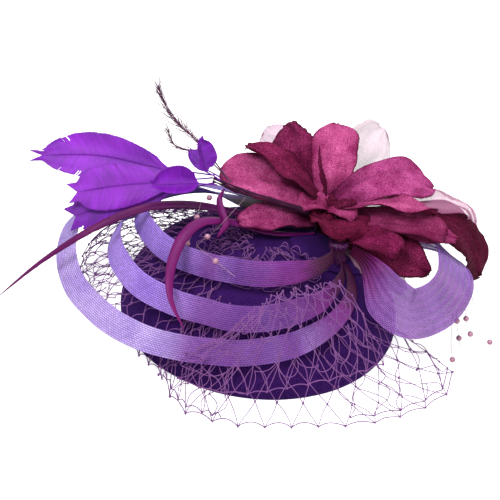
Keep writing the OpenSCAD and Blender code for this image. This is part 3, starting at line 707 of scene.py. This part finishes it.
def petal_route(tip, z, rise, hint):
    tip = np.array(tip, float)
    base = core_seat(tip, z, ROOT_GAP if hint == UPRIGHT else 1.4 * ROOT_GAP)
    d = unit(tip - base)
    bow = np.cross(unit(np.cross(d, hint)), d) * rise
    mid = (base + tip) / 2 + bow
    return [base, (base + mid) / 2 + bow * 0.25, mid, (mid + tip) / 2 + bow * 0.25, tip]


# Painted shade at the petals' roots, deep in the flower's middle.
ROOT_PAINTED_SHADE = np.array([0.34, 0.16, 0.3])


def petal_half(u, width, wide_at, root):
    """Half width: grows to the widest place, then closes as a blunt oval."""
    if u < wide_at:
        return width / 2 * (root + (1 - root) * math.sin(math.pi / 2 * u / wide_at) ** 0.9)
    return width / 2 * max(0.03, 1 - ((u - wide_at) / (1 - wide_at)) ** 2.3) ** (1 / 2.3)


def petal(name, node, route, width, roll, cup, hint=UPRIGHT, front=PINK, back=DARK, slot=None,
          ruffle=1.6, curl=1.5, fray=0.6, shade=(1, 1, 1), rim=(0.4, 0.15, 0.3), thick=0.35,
          seed=0, wide_at=0.62, root=0.42):
    """A cloth petal with a ruffled, slightly frayed edge.

    root is its share of the width at its base. u runs along it, v across it from -1 to 1.
    """
    rows, cols = 84, 36
    line, d, a, b = blade_frames(route, rows, roll, hint)
    length = float(np.linalg.norm(np.diff(line, axis=0), axis=1).sum())

    def height(u, v, half):
        """Cup, ruffles, crumples, midrib, creases, and the curl of the edges and the tip."""
        wave = ruffle * u * abs(v) ** 2.2 * math.sin(u * length / 5.2 + 2.6 * (v > 0) + seed * 1.9)
        wave += ruffle * 1.1 * u * drift(u * 4.2, v * 2.6, seed * 5.3)
        wave += 0.55 * drift(u * length / 5, v * width / 9, seed * 2.3)
        wave += 0.7 * math.exp(-(v * 5) ** 2) * (1 - u)
        crease = abs(drift(v * 2.2 + seed, u * 1.2, seed * 2.0))
        wave += 1.5 * min(1, width / 24) ** 3 * min(1, 2 * u) * (0.4 - 2.2 * crease)
        edge_curl = -curl * max(0, abs(v) - 0.6) ** 2 * 9 * (0.3 + u)
        tip_curl = -curl * 3.2 * max(0, u - 0.8) ** 2 * 12
        return cup * half * v * v + wave + edge_curl + tip_curl

    def spread(u, v, half):
        """Distance from the middle line, with lobes and a frayed edge."""
        fine = drift(u * length / 2.2, v * 2, seed * 7.7 + 1)
        finer = abs(drift(u * length / 0.9, v * 2, seed * 7.7 + 9))
        lobe = 1 + 0.2 * drift(u * 4, math.copysign(2, v), seed * 3.1) * v * v
        return half * v * lobe + math.copysign(fray * (fine + 0.6 * finer) * abs(v) ** 8, v)

    def dye_and_shade(u, v):
        near_edge = min(1, max(abs(v) ** 11, ((u - 0.94) / 0.06) ** 2 if u > 0.94 else 0))
        blotch = 0.5 + 0.9 * drift(u * 3.1, v * 1.8, seed * 4.1)
        blotch = clamp(blotch * (1.15 - 0.5 * u))
        mark = np.array(shade) * (1 - 0.42 * blotch * np.array([0.75, 1.0, 0.85]))
        # darker towards the root: painted shade
        mark = mixed(mark, mark * ROOT_PAINTED_SHADE, clamp((0.42 - u) / 0.42) ** 1.3)
        return mixed(mark, mark * np.array(rim), near_edge)

    verts, uvs, tint, area, last = [], [], [], 0.0, 0.0
    for i in range(rows + 1):
        u = 1 - (1 - i / rows) ** 1.3
        k = min(int(u * rows), rows - 1)
        at, wide, up = (mixed(q[k], q[k + 1], u * rows - k) for q in (line, a, b))
        wide, up = unit(wide), unit(up)
        half = petal_half(u, width, wide_at, root)
        for j in range(cols + 1):
            v = 2 * j / cols - 1
            across = spread(u, v, half)
            reach = -0.55 * fray * 3 * drift(v * 5, seed * 1.7, 3) * max(0, u - 0.85) / 0.15
            verts.append(at + wide * across + d[k] * reach + up * height(u, v, half))
            uvs.append((u * length, across))
            tint.append(dye_and_shade(u, v))
        area += 2 * half * (u - last) * length
        last = u
    piece = make(name, verts, grid_faces(rows, cols), front, (node,), uvs, tint, thick,
                 lining=back)


# shade in the extra looks multiplies a petal's tint; the values below 1 on left_low, right_low and
# right_tuck are partly the petals' burgundy colour and partly painted shade where other petals lie
# over them
# name, tip, base height, width, rise, roll, cup, extra looks
PETALS = [
    ("left_long", (-31, 31, 75), 62, 36, 4, 12, 0.16,
     dict(seed=1, shade=(1.0, 0.95, 1.0), ruffle=1.8, curl=1.0)),
    ("left_low", (-17, 2, 61), 52.5, 17, 3, 28, 0.2, dict(seed=2, shade=(0.85, 0.75, 0.85))),
    ("back_left", (-16, 47, 87), 65.5, 24, 4, -10, 0.2,
     dict(seed=3, front=DARK, shade=(1.2, 1.3, 1.4), ruffle=3.0, fray=1.0)),
    ("right_high", (100, 54, 65), 64, 26, 11, -26, 0.25,
     dict(seed=6, shade=(0.98, 0.9, 1.08), ruffle=2.2)),
    ("right_fold", (98, 20, 68), 61.5, 17, 5, 12, 0.2, dict(seed=7, ruffle=3.0, curl=0.4)),
    ("right_low", (105, 11, 61.5), 57.5, 22, 2, -10, 0.2,
     dict(seed=8, shade=(0.6, 0.42, 0.52), ruffle=2.4)),
    ("right_tuck", (113, 18, 54.5), 54, 22, 3, -5, 0.1, dict(seed=9, shade=(0.8, 0.62, 0.75))),
    ("front_low", (76, -12, 61), 51, 22, 2, -15, 0.2,
     dict(seed=12, front=DARK, shade=(1.1, 1, 1.3), fray=1.0, ruffle=2.2)),
    ("in_bow", (97, -4, 43), 47.5, 27, 2, -15, 0.15,
     dict(seed=13, front=DARK, shade=(1.3, 1.6, 1.5), fray=1.1, ruffle=2.0)),
    ("front", (46, -4, 60), 57.5, 40, 2, 8, 0.25,
     dict(seed=14, front=DARK, shade=(1.0, 0.9, 1.0), ruffle=3.0, root=0.6, fray=1.0)),
]
for key, tip, z, width, rise, roll, cup, extra in PETALS:
    petal("flower_" + key, "petal_" + key, petal_route(tip, z, rise, UPRIGHT), width, roll, cup,
          **extra)
petal("flower_back_ruffled", "petal_back_ruffled", petal_route((3, 72, 86), 58, 4, FRONTWARD),
      32, 0, 0.25, FRONTWARD, seed=4, front=DARK, shade=(1.3, 1.7, 1.7), ruffle=3.4, fray=1.1)
petal("flower_back_tall", "petal_back_tall", petal_route((36, 66, 97), 62, 5, FRONTWARD),
      28, 0, 0.15, FRONTWARD, seed=5, shade=(1.12, 1.1, 1.12), curl=2.2, ruffle=1.4, root=0.6)
far_tip = (137, 31, 19)
petal("flower_far_right", "petal_far_right",
      [core_seat(far_tip, 49.8), (70, 27, 53.5), (98, 32, 54.5), (121, 35, 45), far_tip],
      38, -8, 0.12, seed=10, front=DARK, shade=(0.62, 0.6, 0.62), ruffle=2.0, wide_at=0.74)
SHEER = dict(front="organza", back="organza", thick=0.12, rim=(0.7, 0.4, 0.6), ruffle=2.6,
             root=0.45)
for key, tip, z, width, rise, hint, shade in (
        ("left", (-9, 84, 75), 49.5, 34, -3, FRONTWARD, (0.98, 0.7, 0.92)),
        ("back", (68, 82, 86), 57, 42, -2, FRONTWARD, (1.0, 0.98, 0.98)),
        ("low", (84, -12, 33), 44.5, 21, 3, UPRIGHT, (1.0, 0.9, 0.95))):
    petal("organza_" + key, "sheer_petal_" + key, petal_route(tip, z, rise, hint), width,
          -15 if hint == UPRIGHT else 0, 0.1, hint, seed=21 + len(key), shade=shade, **SHEER)
sheer_tip = (132, 53, 39)
petal("organza_right", "sheer_petal_right",
      [core_seat(sheer_tip, 51.5), (68, 38, 59.5), (98, 45.5, 61.5), (120, 52.5, 54), sheer_tip],
      18, -8, 0.1, seed=24, shade=(0.98, 0.62, 0.82), **SHEER)


def bud():
    """Rolled cloth at the middle of the flower."""
    x, y = CORE_AT
    foot, steps, cols = 42, 170, 12
    verts, uvs, tint = [], [], []
    for i in range(steps + 1):
        t = i / steps * 2 * math.pi * 2.6
        r = 1.0 + 4.4 * i / steps
        top = 60.5 + 1.4 * math.sin(t * 2.7) - 3.5 * i / steps
        for j in range(cols + 1):
            v = j / cols
            z = foot + (top - foot) * v
            q = r * (0.8 + 0.2 * v) + 1.6 * v ** 6
            verts.append((x + q * math.cos(t), y + q * math.sin(t), z))
            uvs.append((t * r, z))
            # The tint dims the bud, most at its foot: painted shade deep in the flower's middle.
            tint.append(np.array([0.5, 0.4, 0.5]) * (0.6 + 0.4 * v))
    make("flower_bud", verts, grid_faces(steps, cols), DARK, ("flower_core",), uvs, tint, 0.4,
         lining=DARK)


bud()


def leaf(name, turn, length, width, tilt, lift, front, shade, seed):
    """A small crumpled leaf over the bud."""
    t, tilt = math.radians(turn), math.radians(tilt)
    out = np.array([math.cos(t), math.sin(t), 0.0])
    root = np.array([*CORE_AT, 57.0 + lift]) - out * 2
    route = [root] + [
        root + out * length * along * math.cos(tilt)
        + np.array([0, 0, length * up * math.sin(tilt) + arch])
        for along, up, arch in ((0.35, 0.5, 1.5), (0.7, 0.8, 1.5), (1, 1, 0))]
    petal(name, "flower_core", route, width, 0, 0.35, front=front, slot=DARK, ruffle=1.8,
          fray=0.7, shade=shade, seed=seed, root=0.6)


# turn round the core, length, width, tilt, lift, front, shade; the shades below 1 are painted shade
# deep in the flower's middle
LEAVES = [(200, 22, 17, 22, 1, PINK, (0.75, 0.6, 0.7)), (255, 17, 15, 12, 0, DARK, (0.9, 0.8, 0.9)),
          (330, 22, 15, 15, 1, PINK, (0.85, 0.7, 0.8)), (20, 22, 16, 22, 1, DARK, (0.8, 0.8, 0.9)),
          (100, 13, 14, 30, 0, DARK, (0.7, 0.65, 0.75)),
          (150, 16, 14, 28, 1, PINK, (0.7, 0.5, 0.65))]
for number, spec in enumerate(LEAVES):
    leaf(f"flower_leaf_{number + 1}", *spec, 70 + number)

# ---------- stems, feathers and biots ----------

STEM_END, STEM_BEFORE = np.array([-34.0, 13, 79]), np.array([-18.0, 12, 74])
STEM = [[26.5, 20, 58.5], [18, 14, 64], [0, 12, 69.5], STEM_BEFORE, STEM_END]
STEM_R, QUILL_R = 1.8, 0.6


def stems():
    """Five twisted wires, bound with thread near the flower."""
    steps, wires, turns, points = 120, 5, 26, 900
    line = spaced(smooth_curve(STEM, 10), steps)
    d = directions(line)
    a = units(np.cross(d, UPRIGHT))
    b = np.cross(a, d)
    lines = []
    for k in range(wires):
        t = np.linspace(0, 5, len(line)) + 2 * math.pi * k / wires
        lines.append(line + 1.2 * (a * np.cos(t)[:, None] + b * np.sin(t)[:, None]))
    tube_piece("stem_wires", lines, 0.42, 8, "wrapped_stem", ("stem_bundle",), (0.6, 0.45, 0.7))
    t = np.linspace(0, 2 * math.pi * turns, points)
    part = np.linspace(0.04, 0.5, points) * steps
    at, aa, bb = (np.stack([np.interp(part, range(steps + 1), q[:, k]) for k in range(3)], axis=1)
                  for q in (line, a, b))
    coil = at + 1.85 * (aa * np.cos(t)[:, None] + bb * np.sin(t)[:, None])
    tube_piece("stem_thread", [coil], 0.24, 5, "wrapped_stem")


stems()


def stem_seat(k, back=0.0):
    d = unit(STEM_END - STEM_BEFORE)
    a = unit(np.cross(d, UPRIGHT))
    b = np.cross(a, d)
    t = math.radians(k)
    return STEM_END - d * back + (STEM_R + QUILL_R + 0.3) * (a * math.cos(t) + b * math.sin(t))


def feather(name, node, k, back, joint_at, tip, width, rise, roll, cup, seed, shade, peak, blunt,
            ragged, droop):
    """A feather: a tapered quill and a vane of barbs, worn ragged towards its end."""
    seat, joint_at, tip = stem_seat(k, back), np.array(joint_at, float), np.array(tip, float)
    route = [seat, (seat + joint_at) / 2, joint_at,
             (joint_at + tip) / 2 + np.array([0, 0, rise]), tip]
    rows, cols, steps = 150, 16, 200
    line, d, a, b = blade_frames(route, steps, roll, UPRIGHT)
    length = float(np.linalg.norm(np.diff(line, axis=0), axis=1).sum())
    start = float(np.linalg.norm(joint_at - seat)) / length * 0.72
    draw = random.Random(seed)

    def half_at(w):
        if w < peak:
            return width / 2 * math.sin(math.pi / 2 * w / peak) ** 0.8
        return width / 2 * max(0.02, 1 - ((w - peak) / (1 - peak)) ** blunt) ** (1 / blunt)

    def wear():
        """Each barb's share of its full reach, and the rows where the vane is split."""
        reaches, cut, reach = [], set(), 1.0
        for i in range(rows + 1):
            w = i / rows
            if draw.random() < 0.04 + ragged * w * w:
                reach = 1 - ragged * 0.6 * w * draw.uniform(0.0, 1.0)
                if w > 0.5 and draw.random() < 0.5 * min(1, ragged * 5):
                    cut.add(i)
            reaches.append(reach)
        return reaches, cut

    verts, faces, uvs, tint = [], [], [], []
    for side in (-1, 1):
        first = len(verts)
        reaches, cut = wear()
        for i in range(rows + 1):
            w = i / rows
            for j in range(cols + 1):
                t = j / cols
                w_out = min(1.0, w + (0.1 + 0.06 * (1 - w)) * t ** 1.2 * (1 - w * 0.35))
                at = (start + (1 - start) * w_out) * steps
                q = min(int(at), steps - 1)
                p = line[q] + (line[q + 1] - line[q]) * (at - q)
                over = max(0.0, w + 0.1 * t - 1) * (1 - start) * length
                half = half_at(min(w_out, 0.985)) * reaches[i]
                half *= 1 + 0.012 * draw.uniform(-1, 1) * t
                v = side * t
                lift = cup * half * v * v + 1.1 * drift(w * 3.5, v * 1.5, seed) * t
                lift += 0.35 * drift(w * 22, t * 1.2, seed + 5) * t - droop * half * t ** 2.5
                verts.append(p + d[q] * over + a[q] * half * v + b[q] * lift)
                uvs.append((i * 0.5, t * width))
                dark = 0.84 + 0.16 * min(1, t * 4 + 0.1)
                streak = 1 + 0.22 * drift(w * 30, t * 0.6, seed + side)
                streak += 0.3 * drift(w * 5, t * 1.1, seed + 3 * side)
                tint.append(np.array(shade) * dark * streak * (1 - 0.12 * (t > 0.93)))
        for i in range(rows):
            for j in range(cols):
                if i + 1 in cut and j >= cols * 0.75:
                    continue
                q = first + i * (cols + 1) + j
                face = (q, q + 1, q + cols + 2, q + cols + 1)
                faces.append(face if side > 0 else face[::-1])
    make(name, verts, faces, "goose_feather", (node,), uvs, tint, 0.12)
    quill = line[: int(steps * 0.93)]
    tube_piece(name + "_quill", [quill + b[: len(quill)] * 0.1], QUILL_R * 0.8, 8, "goose_feather",
               tint=np.array(shade) * 0.8, taper=0.2)


# name, node, angle round the stems and depth along them, end of the bare quill, tip, width, rise,
# roll, cup, seed, shade, widest place, bluntness, raggedness, droop
FEATHERS = [
    ("goose_upper", "goose_feather_upper", 30, 0, (-66, 24, 76), (-136, 26, 75), 27, 4, 50, 0.2,
     31, (1, 1, 1), 0.62, 1.9, 0.16, 0.1),
    ("goose_middle", "goose_feather_middle", 345, 0, (-62, 10.5, 75.3), (-112, 8.5, 63.3), 27, 1,
     50, 0.2, 32, (1.06, 1.05, 1.03), 0.66, 2.6, 0.04, 0.2),
    ("goose_lower", "goose_feather_lower", 300, 2, (-64, 7.6, 68), (-112, 4.5, 49), 22, 3, 50, 0.1,
     33, (0.72, 0.62, 0.76), 0.8, 3.5, 0.12, 0.1),
    ("curled_low", "curled_feather_low", 200, 3, (-44, 8, 78), (-67, 0, 79), 16.5, 0, 40, 0.75,
     34, (1.05, 1.1, 1.02), 0.5, 2.2, 0.0, -0.3),
    ("curled_tall", "curled_feather_tall", 130, 4, (-38.5, 12, 85), (-44, 16, 102), 13.5, 0, 5,
     0.5, 35, (1.05, 1.15, 1.02), 0.5, 2.2, 0.0, -0.2),
    ("curled_short", "curled_feather_short", 75, 3, (-39, 17, 83), (-49, 25, 89), 9, 0, 30, 0.3,
     36, (0.75, 0.7, 0.8), 0.5, 2.2, 0.0, 0.0),
]
for spec in FEATHERS:
    feather(*spec)


def plume(name, node, route, seed, count, reach):
    """A stripped plume: a bare stem with a few wispy barbs."""
    draw = random.Random(seed)
    steps = 60
    line = spaced(smooth_curve(route, 8), steps)
    d = directions(line)
    hairs = [line]
    for _ in range(count):
        i = int(steps * (0.3 + 0.68 * draw.random() ** 0.8))
        out = unit(np.cross(d[i], [draw.uniform(-1, 1) for _ in range(3)]))
        size = reach * draw.uniform(0.5, 1) * (1.25 - 0.5 * i / steps)
        bend = draw.uniform(0.15, 0.5)
        hairs.append([line[i] + d[i] * size * t
                      + out * size * bend * t ** (0.6 + 0.8 * draw.random())
                      for t in np.linspace(0, 1, 8)])
    tube_piece(name, hairs, [QUILL_R * 0.8] + [0.16] * count, 5, "plume", (node,), taper=0.5)


plume("plume_tall_hair", "plume_tall",
      [stem_seat(95, 10), [-42, 26, 92], [-62, 37, 104], [-71, 40, 121]], 41, 120, 17)
plume("plume_short_hair", "plume_short",
      [stem_seat(50, 10), [-42, 32, 83], [-58, 37, 84], [-64, 40, 93]], 42, 90, 11)

BIOT_LONG = [[28.2, 20.5, 47.6], [4, 13, 53], [-24, 12, 59], [-48, 4, 65.5], [-72, -8, 67.5],
             [-98, -23, 60], [-126, -29, 38], [-152, -29, 9]]
BIOT_FRONT = [[28.5, 16.5, 46.5], [5, 7, 50], [-20, 2, 58], [-37, -13, 66], [-46, -32, 67],
              [-50, -52, 61], [-48, -68, 52], [-39, -80, 42]]
BIOT_CURL = [[-27, 10.6, 74.8], [-29, 5, 71], [-27, -1, 67], [-24, -7, 62], [-28, -15, 58]]


def biot(name, node, route, width, neck, wide_at, roll, hint, root, tip):
    """A single stiff barb: a narrow curved strip with a rounded back and a fine notch."""
    rows, cols = 150, 8
    line, d, a, b = blade_frames(route, rows, roll, hint)
    bend = math.log(0.5) / math.log(wide_at)
    verts, uvs, tint = [], [], []
    for i in range(rows + 1):
        u = i / rows
        wide = width / 2 * max(0, math.sin(math.pi * u ** bend)) ** 0.7
        half = max(neck / 2 * (1 - u), wide, 0.16)
        for j in range(cols + 1):
            v = 2 * j / cols - 1
            nick = 0.35 * max(0, drift(u * 30, v, 5)) * (v < -0.9) * half
            verts.append(line[i] + a[i] * (half * v + nick) + b[i] * half * 0.35 * (1 - v * v))
            uvs.append((v * 3, u * 60))
            tint.append(mixed(root, tip, u))
    make(name, verts, grid_faces(rows, cols), "biot", (node,), uvs, tint, 0.3)


# name, route, width, neck, widest place, roll, facing, tint at the root and at the tip
for key, *spec in (
        ("long", BIOT_LONG, 5, 1.6, 0.4, 35, UPRIGHT, (0.35, 0.3, 0.5), (0.85, 0.7, 0.8)),
        ("front", BIOT_FRONT, 7, 2, 0.5, 10, UPRIGHT, (0.8, 0.8, 0.9), (1.05, 1, 1)),
        ("curl", BIOT_CURL, 4.6, 1.2, 0.5, 0, FRONTWARD, (0.8, 0.8, 0.9), (1.1, 1, 1))):
    biot(f"biot_{key}_barb", "biot_" + key, *spec)

# ---------- beads on wire ----------

LEFT_WIRES = [
    [[-24, 10.2, 74], [-31, 13, 68.5], [-39.5, 8, 67], [-42, -14, 57.5], [-46, -27, 53.5]],
    [[-14, 10, 71.2], [-28, -12, 62.5], [-38, -36, 65.5], [-15, -56, 62]]]
RIGHT_DROPS = [
    (25, [[114, -20, 27], [117, -20, 14], [121, -20, 2.2]]),
    (27, [[119, -19, 28], [122, -20, 17], [128, -20, 7]]),
    (29, [[132, -18, 12], [143, -21, 2.2]]),
    (22, [[112, -34, 14], [115, -47, 2.2]])]


def bow_wire(step, drop):
    """The wire's start lies under the bow ribbon, as in the CAD."""
    p = smooth_curve(BOW, 4)
    c, d = p[:, :3], p[min(step + 1, len(p) - 1), :3] - p[step - 1, :3]
    side = unit(np.cross(d, UPRIGHT))
    up = np.cross(side, unit(d))
    lean = math.radians(p[step, 3])
    u = step / (len(p) - 1)
    w = GATHERED_W + (BOW_W - GATHERED_W) * float(ease(np.array(min(u, 1 - u)), 0.2))
    edge = (up * math.cos(lean) - side * math.sin(lean)) * w / 2
    face = up * math.sin(lean) + side * math.cos(lean)
    return [c[step] - 0.7 * edge - (CRIN_T / 2 + 0.6) * face] + drop


BEAD_WIRE_R = 0.13
RIGHT_WIRES = [bow_wire(step, drop) for step, drop in RIGHT_DROPS]
for key, wires in (("left", LEFT_WIRES), ("right", RIGHT_WIRES)):
    tube_piece("bead_thread_" + key, [spaced(w, 40) for w in wires], BEAD_WIRE_R, 6, "bead_wire",
               ("bead_wire_" + key,))

# ---------- veil ----------

HEM = [[125, 90, 12, 1.5, 34], [145, 110, 10, 1.5, 34], [165, 113, 10, 1.5, 34],
       [185, 106, 13, 1.5, 34], [205, 99, 16, 1.5, 34], [225, 92, 8, 1.6, 34],
       [238, 93, 3, 1.6, 34],
       [250, 106, 1, 1.5, 34], [265, 107, 1, 1.45, 34], [285, 106, 1, 1.35, 34],
       [300, 112, 1, 1.2, 38], [315, 120, 1, 1.1, 44], [330, 127, 1.5, 1.1, 50],
       [337, 123, 5, 1.1, 53]]
OVERLAY = [[246, 91, 28, 98, 15], [258, 78, 39, 99, 15], [270, 64, 53, 98, 17],
           [285, 57, 56, 95, 20], [300, 56, 56, 96, 22], [317, 58, 54, 97, 20]]
VEIL_TOP = 48
HEM_LINE, OVER_LINE = smooth_curve(HEM, 4), smooth_curve(OVERLAY, 4)


def veil_point(a, s, lift=0.4):
    edge = [np.interp(a, HEM_LINE[:, 0], HEM_LINE[:, k]) for k in (1, 2, 3, 4)]
    r = edge[3] + (edge[0] - edge[3]) * s
    full = edge[2]
    fall = VEIL_TOP * max(0, 1 - min(1, r / edge[0]) ** full) ** (1 / full)
    over = dome_z(r, RIM_R, DOME_H) + 0.6
    t = math.radians(a)
    return np.array([r * math.cos(t), r * math.sin(t),
                     lift + max(over, edge[1] + fall * (1 - edge[1] / VEIL_TOP))])


def overlay_point(a, s, lift=0.4):
    e = [np.interp(a, OVER_LINE[:, 0], OVER_LINE[:, k]) for k in (1, 2, 3, 4)]
    r = e[0] + (e[2] - e[0]) * s
    t = math.radians(a)
    return np.array([r * math.cos(t), r * math.sin(t), lift + e[1] - (e[1] - e[3]) * s ** 1.6])


def dome_point(a, s, lift=0.4):
    r, t = 6 + 34 * s, math.radians(a)
    return np.array([r * math.cos(t), r * math.sin(t), dome_z(r, RIM_R, DOME_H) + 0.3 + lift])


STRAND_R, HEM_R = 0.235, 0.3
KNOT_R = STRAND_R * 2.9
STRAND_POINTS, HEM_POINTS = 6, 9


def net_lines(surface, a0, a1, s0, s1, across, down, wander, seed, skip, curl, hem):
    """Strands of a diamond net on a surface, and where they are knotted."""
    draw = random.Random(seed)
    spot = {}
    for j in range(down + 1):
        for i in range(across + 1):
            a = a0 + (a1 - a0) * clamp((i + 0.5 * (j % 2)) / across)
            s = s0 + (s1 - s0) * j / down
            edge = 0.3 if j in (0, down) else 1
            n = Vector((i * 0.7, j * 0.7, seed))
            a += wander * 0.55 * noise.noise(n * 1.3) + wander * 0.3 * draw.uniform(-1, 1)
            s += (wander * 0.006 * noise.noise(n + Vector((9, 0, 0)))
                  + 0.004 * draw.uniform(-1, 1)) * edge
            rise = abs(noise.noise(n * 0.8)) * wander * 0.4
            spot[i, j] = (min(a1, max(a0, a)), min(s1, max(s0, s)), rise)
    lines, knots = [], []
    for i in range(across if hem else 0):
        (a, s, _), (b, s2, _) = spot[i, down], spot[i + 1, down]
        lines.append([surface(a + (b - a) * t,
                              s + (s2 - s) * t - 0.018 * math.sin(math.pi * t), 0.5)
                      for t in np.linspace(0, 1, HEM_POINTS)])
    for (i, j), (a, s, up) in spot.items():
        knots.append(surface(a, s, 0.5 + up))
        for di in (0, 1 if j % 2 else -1):
            other = spot.get((i + di, j + 1))
            if other is None or draw.random() < skip:
                continue
            bow = curl * draw.uniform(-1, 1)
            rise = curl * 0.35 * draw.random()
            lines.append([surface(a + (other[0] - a) * t + bow * math.sin(math.pi * t),
                                  s + (other[1] - s) * t,
                                  0.5 + up + (other[2] - up) * t + rise * math.sin(math.pi * t))
                          for t in np.linspace(0, 1, STRAND_POINTS)])
    return lines, knots


def loose_strands(surface, a0, a1, levels, wander, seed):
    """Curly strands that run along a fold."""
    draw = random.Random(seed)
    strands = []
    for s0 in levels:
        shift = draw.uniform(0, 6)
        strand = []
        for t in np.linspace(0.02, 0.98, 160):
            turn = t * 60 + shift
            s = s0 + wander * drift(t * 9, shift, seed) + 0.05 * math.cos(turn)
            rise = 0.5 + 1.4 * abs(drift(t * 14, shift, 3))
            strand.append(surface(a0 + (a1 - a0) * t + 1.6 * math.sin(turn), clamp(s), rise))
        strands.append(strand)
    return strands


def knot_mesh(points, size, seed):
    """Small lumpy knots where strands cross."""
    draw = random.Random(seed)
    verts, faces = [], []
    for p in points:
        start = len(verts)
        r = size * draw.uniform(0.75, 1.2)
        for lat in (math.pi * i / 4 for i in range(1, 4)):
            for lon in (math.pi * j / 3 for j in range(6)):
                verts.append(p + r * np.array([math.sin(lat) * math.cos(lon),
                                               math.sin(lat) * math.sin(lon),
                                               1.25 * math.cos(lat)]))
        verts += [p + [0, 0, 1.25 * r], p - [0, 0, 1.25 * r]]
        top, low = start + 18, start + 19
        for j in range(6):
            one, two = start + j, start + (j + 1) % 6
            faces += [(top, one, two), (one, one + 6, two + 6, two),
                      (one + 6, one + 12, two + 12, two + 6), (one + 12, low, two + 12)]
    return verts, faces


def net(name, lines, knots, node, seed):
    radii = [HEM_R if len(line) == HEM_POINTS else STRAND_R for line in lines]
    verts, faces, uvs = tubes(lines, radii, 5)
    lumps, lump_faces = knot_mesh(knots, KNOT_R, seed)
    n = len(verts)
    verts += lumps
    uvs += [(0, 0)] * len(lumps)
    faces += [tuple(q + n for q in f) for f in lump_faces]
    piece = make(name, verts, faces, "net", (node,), uvs)


# 1 to draw every knot, 2 for every other, 0 for none; then net_lines' own values: surface, first
# and last angle, first and last share of the depth, meshes across and down, wander, seed, share of
# strands left out, curl, hem
VEIL_NETS = [
    (1, veil_point, 236, 337, 0.25, 1, 13, 6, 1.2, 51, 0, 0.5, True),
    (1, veil_point, 125, 238, 0.15, 1, 17, 8, 4, 52, 0, 2.2, True),
    (2, veil_point, 125, 205, 0.3, 0.97, 12, 8, 5, 53, 0.1, 2.6, True),
    (2, veil_point, 234, 262, 0.45, 0.98, 7, 5, 3, 58, 0.1, 2.4, True),
    (2, veil_point, 300, 337, 0.35, 0.96, 5, 6, 4, 57, 0.1, 2.0, True),
    (0, dome_point, 125, 340, 0.1, 1.0, 13, 5, 14, 54, 0.08, 13, False)]
VEIL_LINES, VEIL_KNOTS = [], []
for every, *spec in VEIL_NETS:
    lines, knots = net_lines(*spec)
    VEIL_LINES += lines
    VEIL_KNOTS += knots[::every] if every else []
VEIL_LINES += loose_strands(dome_point, 130, 335, (0.25, 0.5, 0.6, 0.7, 0.8, 0.9), 0.7, 12)
VEIL_LINES += loose_strands(veil_point, 130, 200, (0.35, 0.5, 0.65, 0.8, 0.93), 0.2, 14)
net("veil_net", VEIL_LINES, VEIL_KNOTS, "veil", 61)
FOLD_LINES, FOLD_KNOTS = net_lines(overlay_point, 246, 317, 0, 1, 10, 4, 3, 55, 0, 2.4, True)
FOLD_LINES += loose_strands(overlay_point, 247, 316, (0.02, 0.08, 0.18, 0.3, 0.5, 0.75), 0.3, 8)
net("veil_fold", FOLD_LINES, FOLD_KNOTS, "veil_overlay",
    62)

# ---------- hair clips and other CAD nodes that stay ----------


def repaint(node, look):
    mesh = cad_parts[node].data
    mesh.materials.clear()
    mesh.materials.append(LOOKS[look])


PIN_AT, WALL_LEAN = (65.909, 14.371), math.radians(40.88)
COIL_R, COIL_HALF, COIL_TURNS, SPRING_LEG, WIRE_R = 1.55, 2.05, 4.5, 10, 0.35
UPPER_SLOPE, LOWER_SLOPE = 24, -4


def clip_spring(side, sign):
    """Coil on the pin. One leg follows the moving arm and the other the fixed arm."""
    along = np.array([-sign, 0, 0])
    pin = np.array([0, sign * math.sin(WALL_LEAN), math.cos(WALL_LEAN)])
    up = np.array([0, sign * math.cos(WALL_LEAN), -math.sin(WALL_LEAN)])
    centre = np.array([0, -sign * PIN_AT[0], PIN_AT[1]])

    def leg(slope, y, steps):
        cos, sin = math.cos(math.radians(slope)), math.sin(math.radians(slope))
        rise = math.copysign(COIL_R, y)
        return [(-SPRING_LEG * t * cos, rise + SPRING_LEG * t * sin, y) for t in steps]

    coil = [(COIL_R * math.sin(t), COIL_R * math.cos(t),
             COIL_HALF * (1 - t / (math.pi * COIL_TURNS)))
            for t in np.linspace(0.05, 2 * math.pi * COIL_TURNS - 0.05, 170)]
    path = (leg(UPPER_SLOPE, COIL_HALF, np.linspace(1, 0.05, 12)) + coil
            + leg(LOWER_SLOPE, -COIL_HALF, np.linspace(0.05, 1, 12)))
    route = np.array([centre + along * x + up * z + pin * y for x, z, y in path])
    verts, faces, uvs = tubes([route], WIRE_R, 10)
    piece = make(side + "_clip_coil", verts, faces, "clip_steel", (side + "_clip_spring",), uvs,
                 body=None)
    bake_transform(piece)


for side, sign in (("front", 1), ("back", -1)):
    clip_spring(side, sign)
    for part in ("fixed_arm", "moving_arm", "pin"):
        repaint(f"{side}_clip_{part}", "clip_steel")
    repaint(f"{side}_clip_pad", "dark_felt")
repaint("rim_wire", "rim_steel")
for node in ("pearls_left", "pearls_right"):
    repaint(node, "pearl")
    shade_smooth(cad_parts[node].data)
